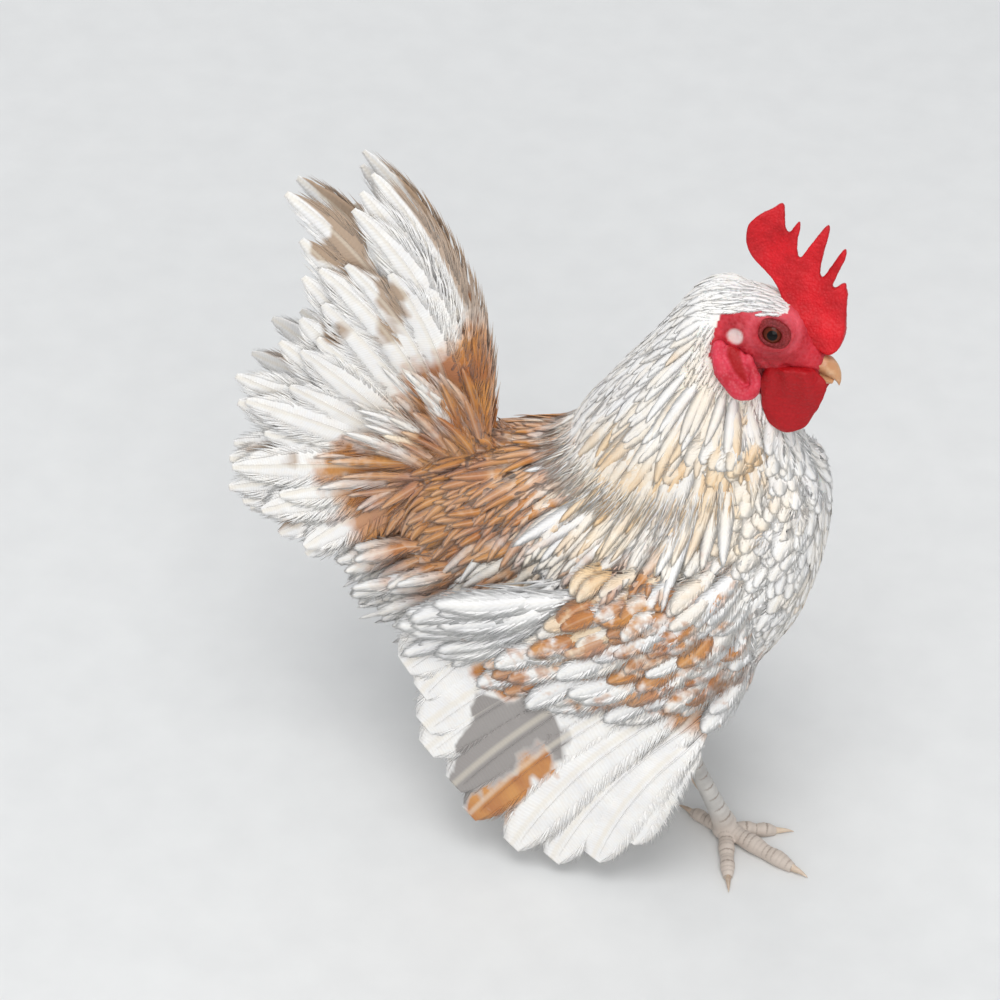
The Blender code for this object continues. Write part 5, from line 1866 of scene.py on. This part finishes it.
class RoosterCoat(bpy.types.PropertyGroup):
    """Sizes and colours of the skin and the feathers"""
    skin_voxel: amount("Skin grain", "Edge of the skin's even squares", 0.0011, min=0.0005, unit="LENGTH")
    hollow_smoothing: tally("Hollow smoothing", "How often the hollows by the neck are smoothed", 70, 0)
    density: amount("Density", "How closely the short feathers grow", 1.0, min=0.1)
    flights: tally("Flights", "Flight feathers in each wing", 10, 4)
    tertials: tally("Tertials", "Soft feathers over each wing's rear", 18, 2)
    tail_coverts: tally("Tail coverts", "Soft feathers at each side of the tail", 190, 0)
    white: colour("White", "White feathers in full light", (0.93, 0.915, 0.885))
    # The cooler white is painted shade, for the shade between the feathers
    white_painted_shade: colour("White painted shade", "The cooler white between them", (0.84, 0.83, 0.825))
    cream: colour("Cream", "Cream of the hackle", (0.88, 0.72, 0.50))
    gold: colour("Gold", "Golden streaks", (0.80, 0.50, 0.22))
    orange: colour("Orange", "Orange feathers", (0.62, 0.27, 0.06))
    rust: colour("Rust", "The darker orange", (0.44, 0.145, 0.03))
    slate: colour("Slate", "Grey patches on the flights", (0.30, 0.275, 0.26))
    umber: colour("Umber", "Brown patches on the tail", (0.42, 0.29, 0.19))
    shaft: colour("Shaft", "The feathers' shafts", (0.82, 0.74, 0.60))
    # Painted shade for the hollows between the barbs and for the skin under the feathers
    painted_hollow_shade: colour("Painted hollow shade", "Hollows between the barbs", (0.36, 0.28, 0.2))


class RoosterHead(bpy.types.PropertyGroup):
    """Sizes and colours of the comb, face, eyes and beak"""
    comb_thickness: amount("Comb thickness", "Thickness of the comb at its top", 0.0022, min=0.0005,
                           unit="LENGTH")
    comb: colour("Comb", "Comb", (0.68, 0.008, 0.016))
    # Darker flesh: random blotches on the comb, wattles and earlobes, and painted shade in the earlobes'
    # folds
    deep_flesh_and_fold_shade: colour("Comb deep", "Darker flesh in the folds", (0.36, 0.003, 0.006))
    comb_light: colour("Comb light", "The comb's raised grains", (0.78, 0.03, 0.045))
    # Darker than the comb's red as painted shade, for wattles that hang in shade
    wattle: colour("Wattles", "Wattles", (0.37, 0.003, 0.007))
    lobe: colour("Earlobe", "Earlobes", (0.72, 0.05, 0.09))
    lobe_light: colour("Earlobe rim", "Paler skin on the earlobes", (0.82, 0.26, 0.30))
    face: colour("Face", "Bare face", (0.56, 0.022, 0.036))
    # Darker skin: random blotches, and painted shade below and round the eye
    face_deep_and_eye_shade: colour("Face deep", "Its darker skin", (0.28, 0.006, 0.010))
    face_light: colour("Face light", "Its paler skin", (0.72, 0.11, 0.14))
    lid: colour("Eyelids", "Eyelids", (0.22, 0.010, 0.010))
    lid_deep: colour("Eyelids deep", "The darker lid edge", (0.10, 0.005, 0.005))
    iris: colour("Iris", "Iris", (0.13, 0.022, 0.006))
    iris_edge: colour("Iris edge", "The iris's darker rim", (0.05, 0.006, 0.003))
    beak: colour("Beak", "Beak horn", (0.66, 0.36, 0.17))
    beak_dark: colour("Beak dark", "Darker horn", (0.46, 0.20, 0.09))
    beak_light: colour("Beak light", "Paler horn", (0.82, 0.60, 0.38))


class RoosterLegs(bpy.types.PropertyGroup):
    """Colours of the legs and claws"""
    scale: colour("Scales", "Leg scales", (0.60, 0.575, 0.54))
    scale_grey: colour("Grey scales", "Their greyer plates", (0.42, 0.405, 0.385))
    toe: colour("Toes", "Pinker toes", (0.62, 0.50, 0.41))
    joint: colour("Joints", "Dust between the scales", (0.26, 0.2, 0.16))
    claw: colour("Claws", "Claw horn", (0.68, 0.54, 0.41))
    claw_dark: colour("Claws dark", "Darker claw horn", (0.42, 0.31, 0.23))
    claw_light: colour("Claws light", "Paler claw horn", (0.80, 0.70, 0.58))


class RoosterStage(bpy.types.PropertyGroup):
    """The floor and the light"""
    floor: colour("Floor", "The pale floor", (0.74, 0.74, 0.73))
    sky: amount("Sky", "Strength of the even light", 0.6, min=0)
    key_light: amount("Key light", "Power of the main light", 7.2, min=0, unit="POWER")


SHARED = {}


class RoosterOperator:
    """What the rooster's operators share."""
    bl_options = {"REGISTER", "UNDO"}

    def skin(self):
        if "skin" not in SHARED:
            raise RuntimeError("make the skin before what grows on it")
        return SHARED["skin"]


class ROOSTER_OT_skin(RoosterOperator, bpy.types.Operator):
    """Make the skin of the body, neck, head and thighs"""
    bl_idname = "rooster.skin"
    bl_label = "Skin"

    def execute(self, context):
        SHARED["skin"] = make_skin(context.scene.rooster_coat)
        return {"FINISHED"}


class ROOSTER_OT_body_feathers(RoosterOperator, bpy.types.Operator):
    """Grow the feathers of the breast, back, belly and thighs"""
    bl_idname = "rooster.body_feathers"
    bl_label = "Body feathers"

    def execute(self, context):
        make_body_feathers(context.scene.rooster_coat, *self.skin())
        return {"FINISHED"}


class ROOSTER_OT_hackles(RoosterOperator, bpy.types.Operator):
    """Grow the long feathers of the neck and the saddle"""
    bl_idname = "rooster.hackles"
    bl_label = "Hackle and saddle"

    def execute(self, context):
        make_hackles(context.scene.rooster_coat, *self.skin())
        return {"FINISHED"}


class ROOSTER_OT_crown(RoosterOperator, bpy.types.Operator):
    """Grow the small feathers of the crown"""
    bl_idname = "rooster.crown"
    bl_label = "Crown"

    def execute(self, context):
        make_crown(context.scene.rooster_coat, *self.skin())
        return {"FINISHED"}


class ROOSTER_OT_wings(RoosterOperator, bpy.types.Operator):
    """Make the wings' flights, coverts and bows"""
    bl_idname = "rooster.wings"
    bl_label = "Wings"

    def execute(self, context):
        make_wings(context.scene.rooster_coat, *self.skin())
        return {"FINISHED"}


class ROOSTER_OT_tail(RoosterOperator, bpy.types.Operator):
    """Make the tail's feathers, sickles and coverts"""
    bl_idname = "rooster.tail"
    bl_label = "Tail"

    def execute(self, context):
        make_tail(context.scene.rooster_coat)
        return {"FINISHED"}


class ROOSTER_OT_head(RoosterOperator, bpy.types.Operator):
    """Make the comb, wattles, earlobes, eyes and beak"""
    bl_idname = "rooster.head"
    bl_label = "Head"

    def execute(self, context):
        settings = context.scene.rooster_head
        make_comb(settings)
        make_wattles(settings)
        make_earlobes(settings)
        make_eyes(settings)
        make_beak(settings)
        return {"FINISHED"}


class ROOSTER_OT_legs(RoosterOperator, bpy.types.Operator):
    """Make the shanks, feet, claws and spurs"""
    bl_idname = "rooster.legs"
    bl_label = "Legs"

    def execute(self, context):
        make_legs(context.scene.rooster_legs)
        return {"FINISHED"}


class ROOSTER_OT_stage(RoosterOperator, bpy.types.Operator):
    """Set up the floor, the lights and the camera"""
    bl_idname = "rooster.stage"
    bl_label = "Stage"

    def execute(self, context):
        make_stage(context.scene.rooster_stage)
        make_camera()
        return {"FINISHED"}


OPERATORS = (ROOSTER_OT_stage, ROOSTER_OT_skin, ROOSTER_OT_body_feathers, ROOSTER_OT_hackles,
             ROOSTER_OT_crown, ROOSTER_OT_wings, ROOSTER_OT_tail, ROOSTER_OT_head, ROOSTER_OT_legs)
SETTINGS = {"rooster_coat": RoosterCoat, "rooster_head": RoosterHead, "rooster_legs": RoosterLegs,
            "rooster_stage": RoosterStage}


class ROOSTER_PT_panel(bpy.types.Panel):
    """The rooster's pieces and their settings"""
    bl_idname = "ROOSTER_PT_panel"
    bl_label = "Serama rooster"
    bl_space_type = "VIEW_3D"
    bl_region_type = "UI"
    bl_category = "Rooster"

    def draw(self, context):
        for operator in OPERATORS:
            self.layout.operator(operator.bl_idname)
        for group in SETTINGS:
            box = self.layout.box()
            settings = getattr(context.scene, group)
            for name in settings.__annotations__:
                box.prop(settings, name)


def register():
    for group in SETTINGS.values():
        bpy.utils.register_class(group)
    for name, group in SETTINGS.items():
        setattr(bpy.types.Scene, name, PointerProperty(type=group))
    for operator in OPERATORS:
        bpy.utils.register_class(operator)
    bpy.utils.register_class(ROOSTER_PT_panel)


def unregister():
    bpy.utils.unregister_class(ROOSTER_PT_panel)
    for operator in reversed(OPERATORS):
        bpy.utils.unregister_class(operator)
    for name, group in SETTINGS.items():
        delattr(bpy.types.Scene, name)
        bpy.utils.unregister_class(group)


def main():
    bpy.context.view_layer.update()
    register()
    for operator in OPERATORS:
        group, name = operator.bl_idname.split(".")
        getattr(getattr(bpy.ops, group), name)()


if __name__ == "__main__":
    main()
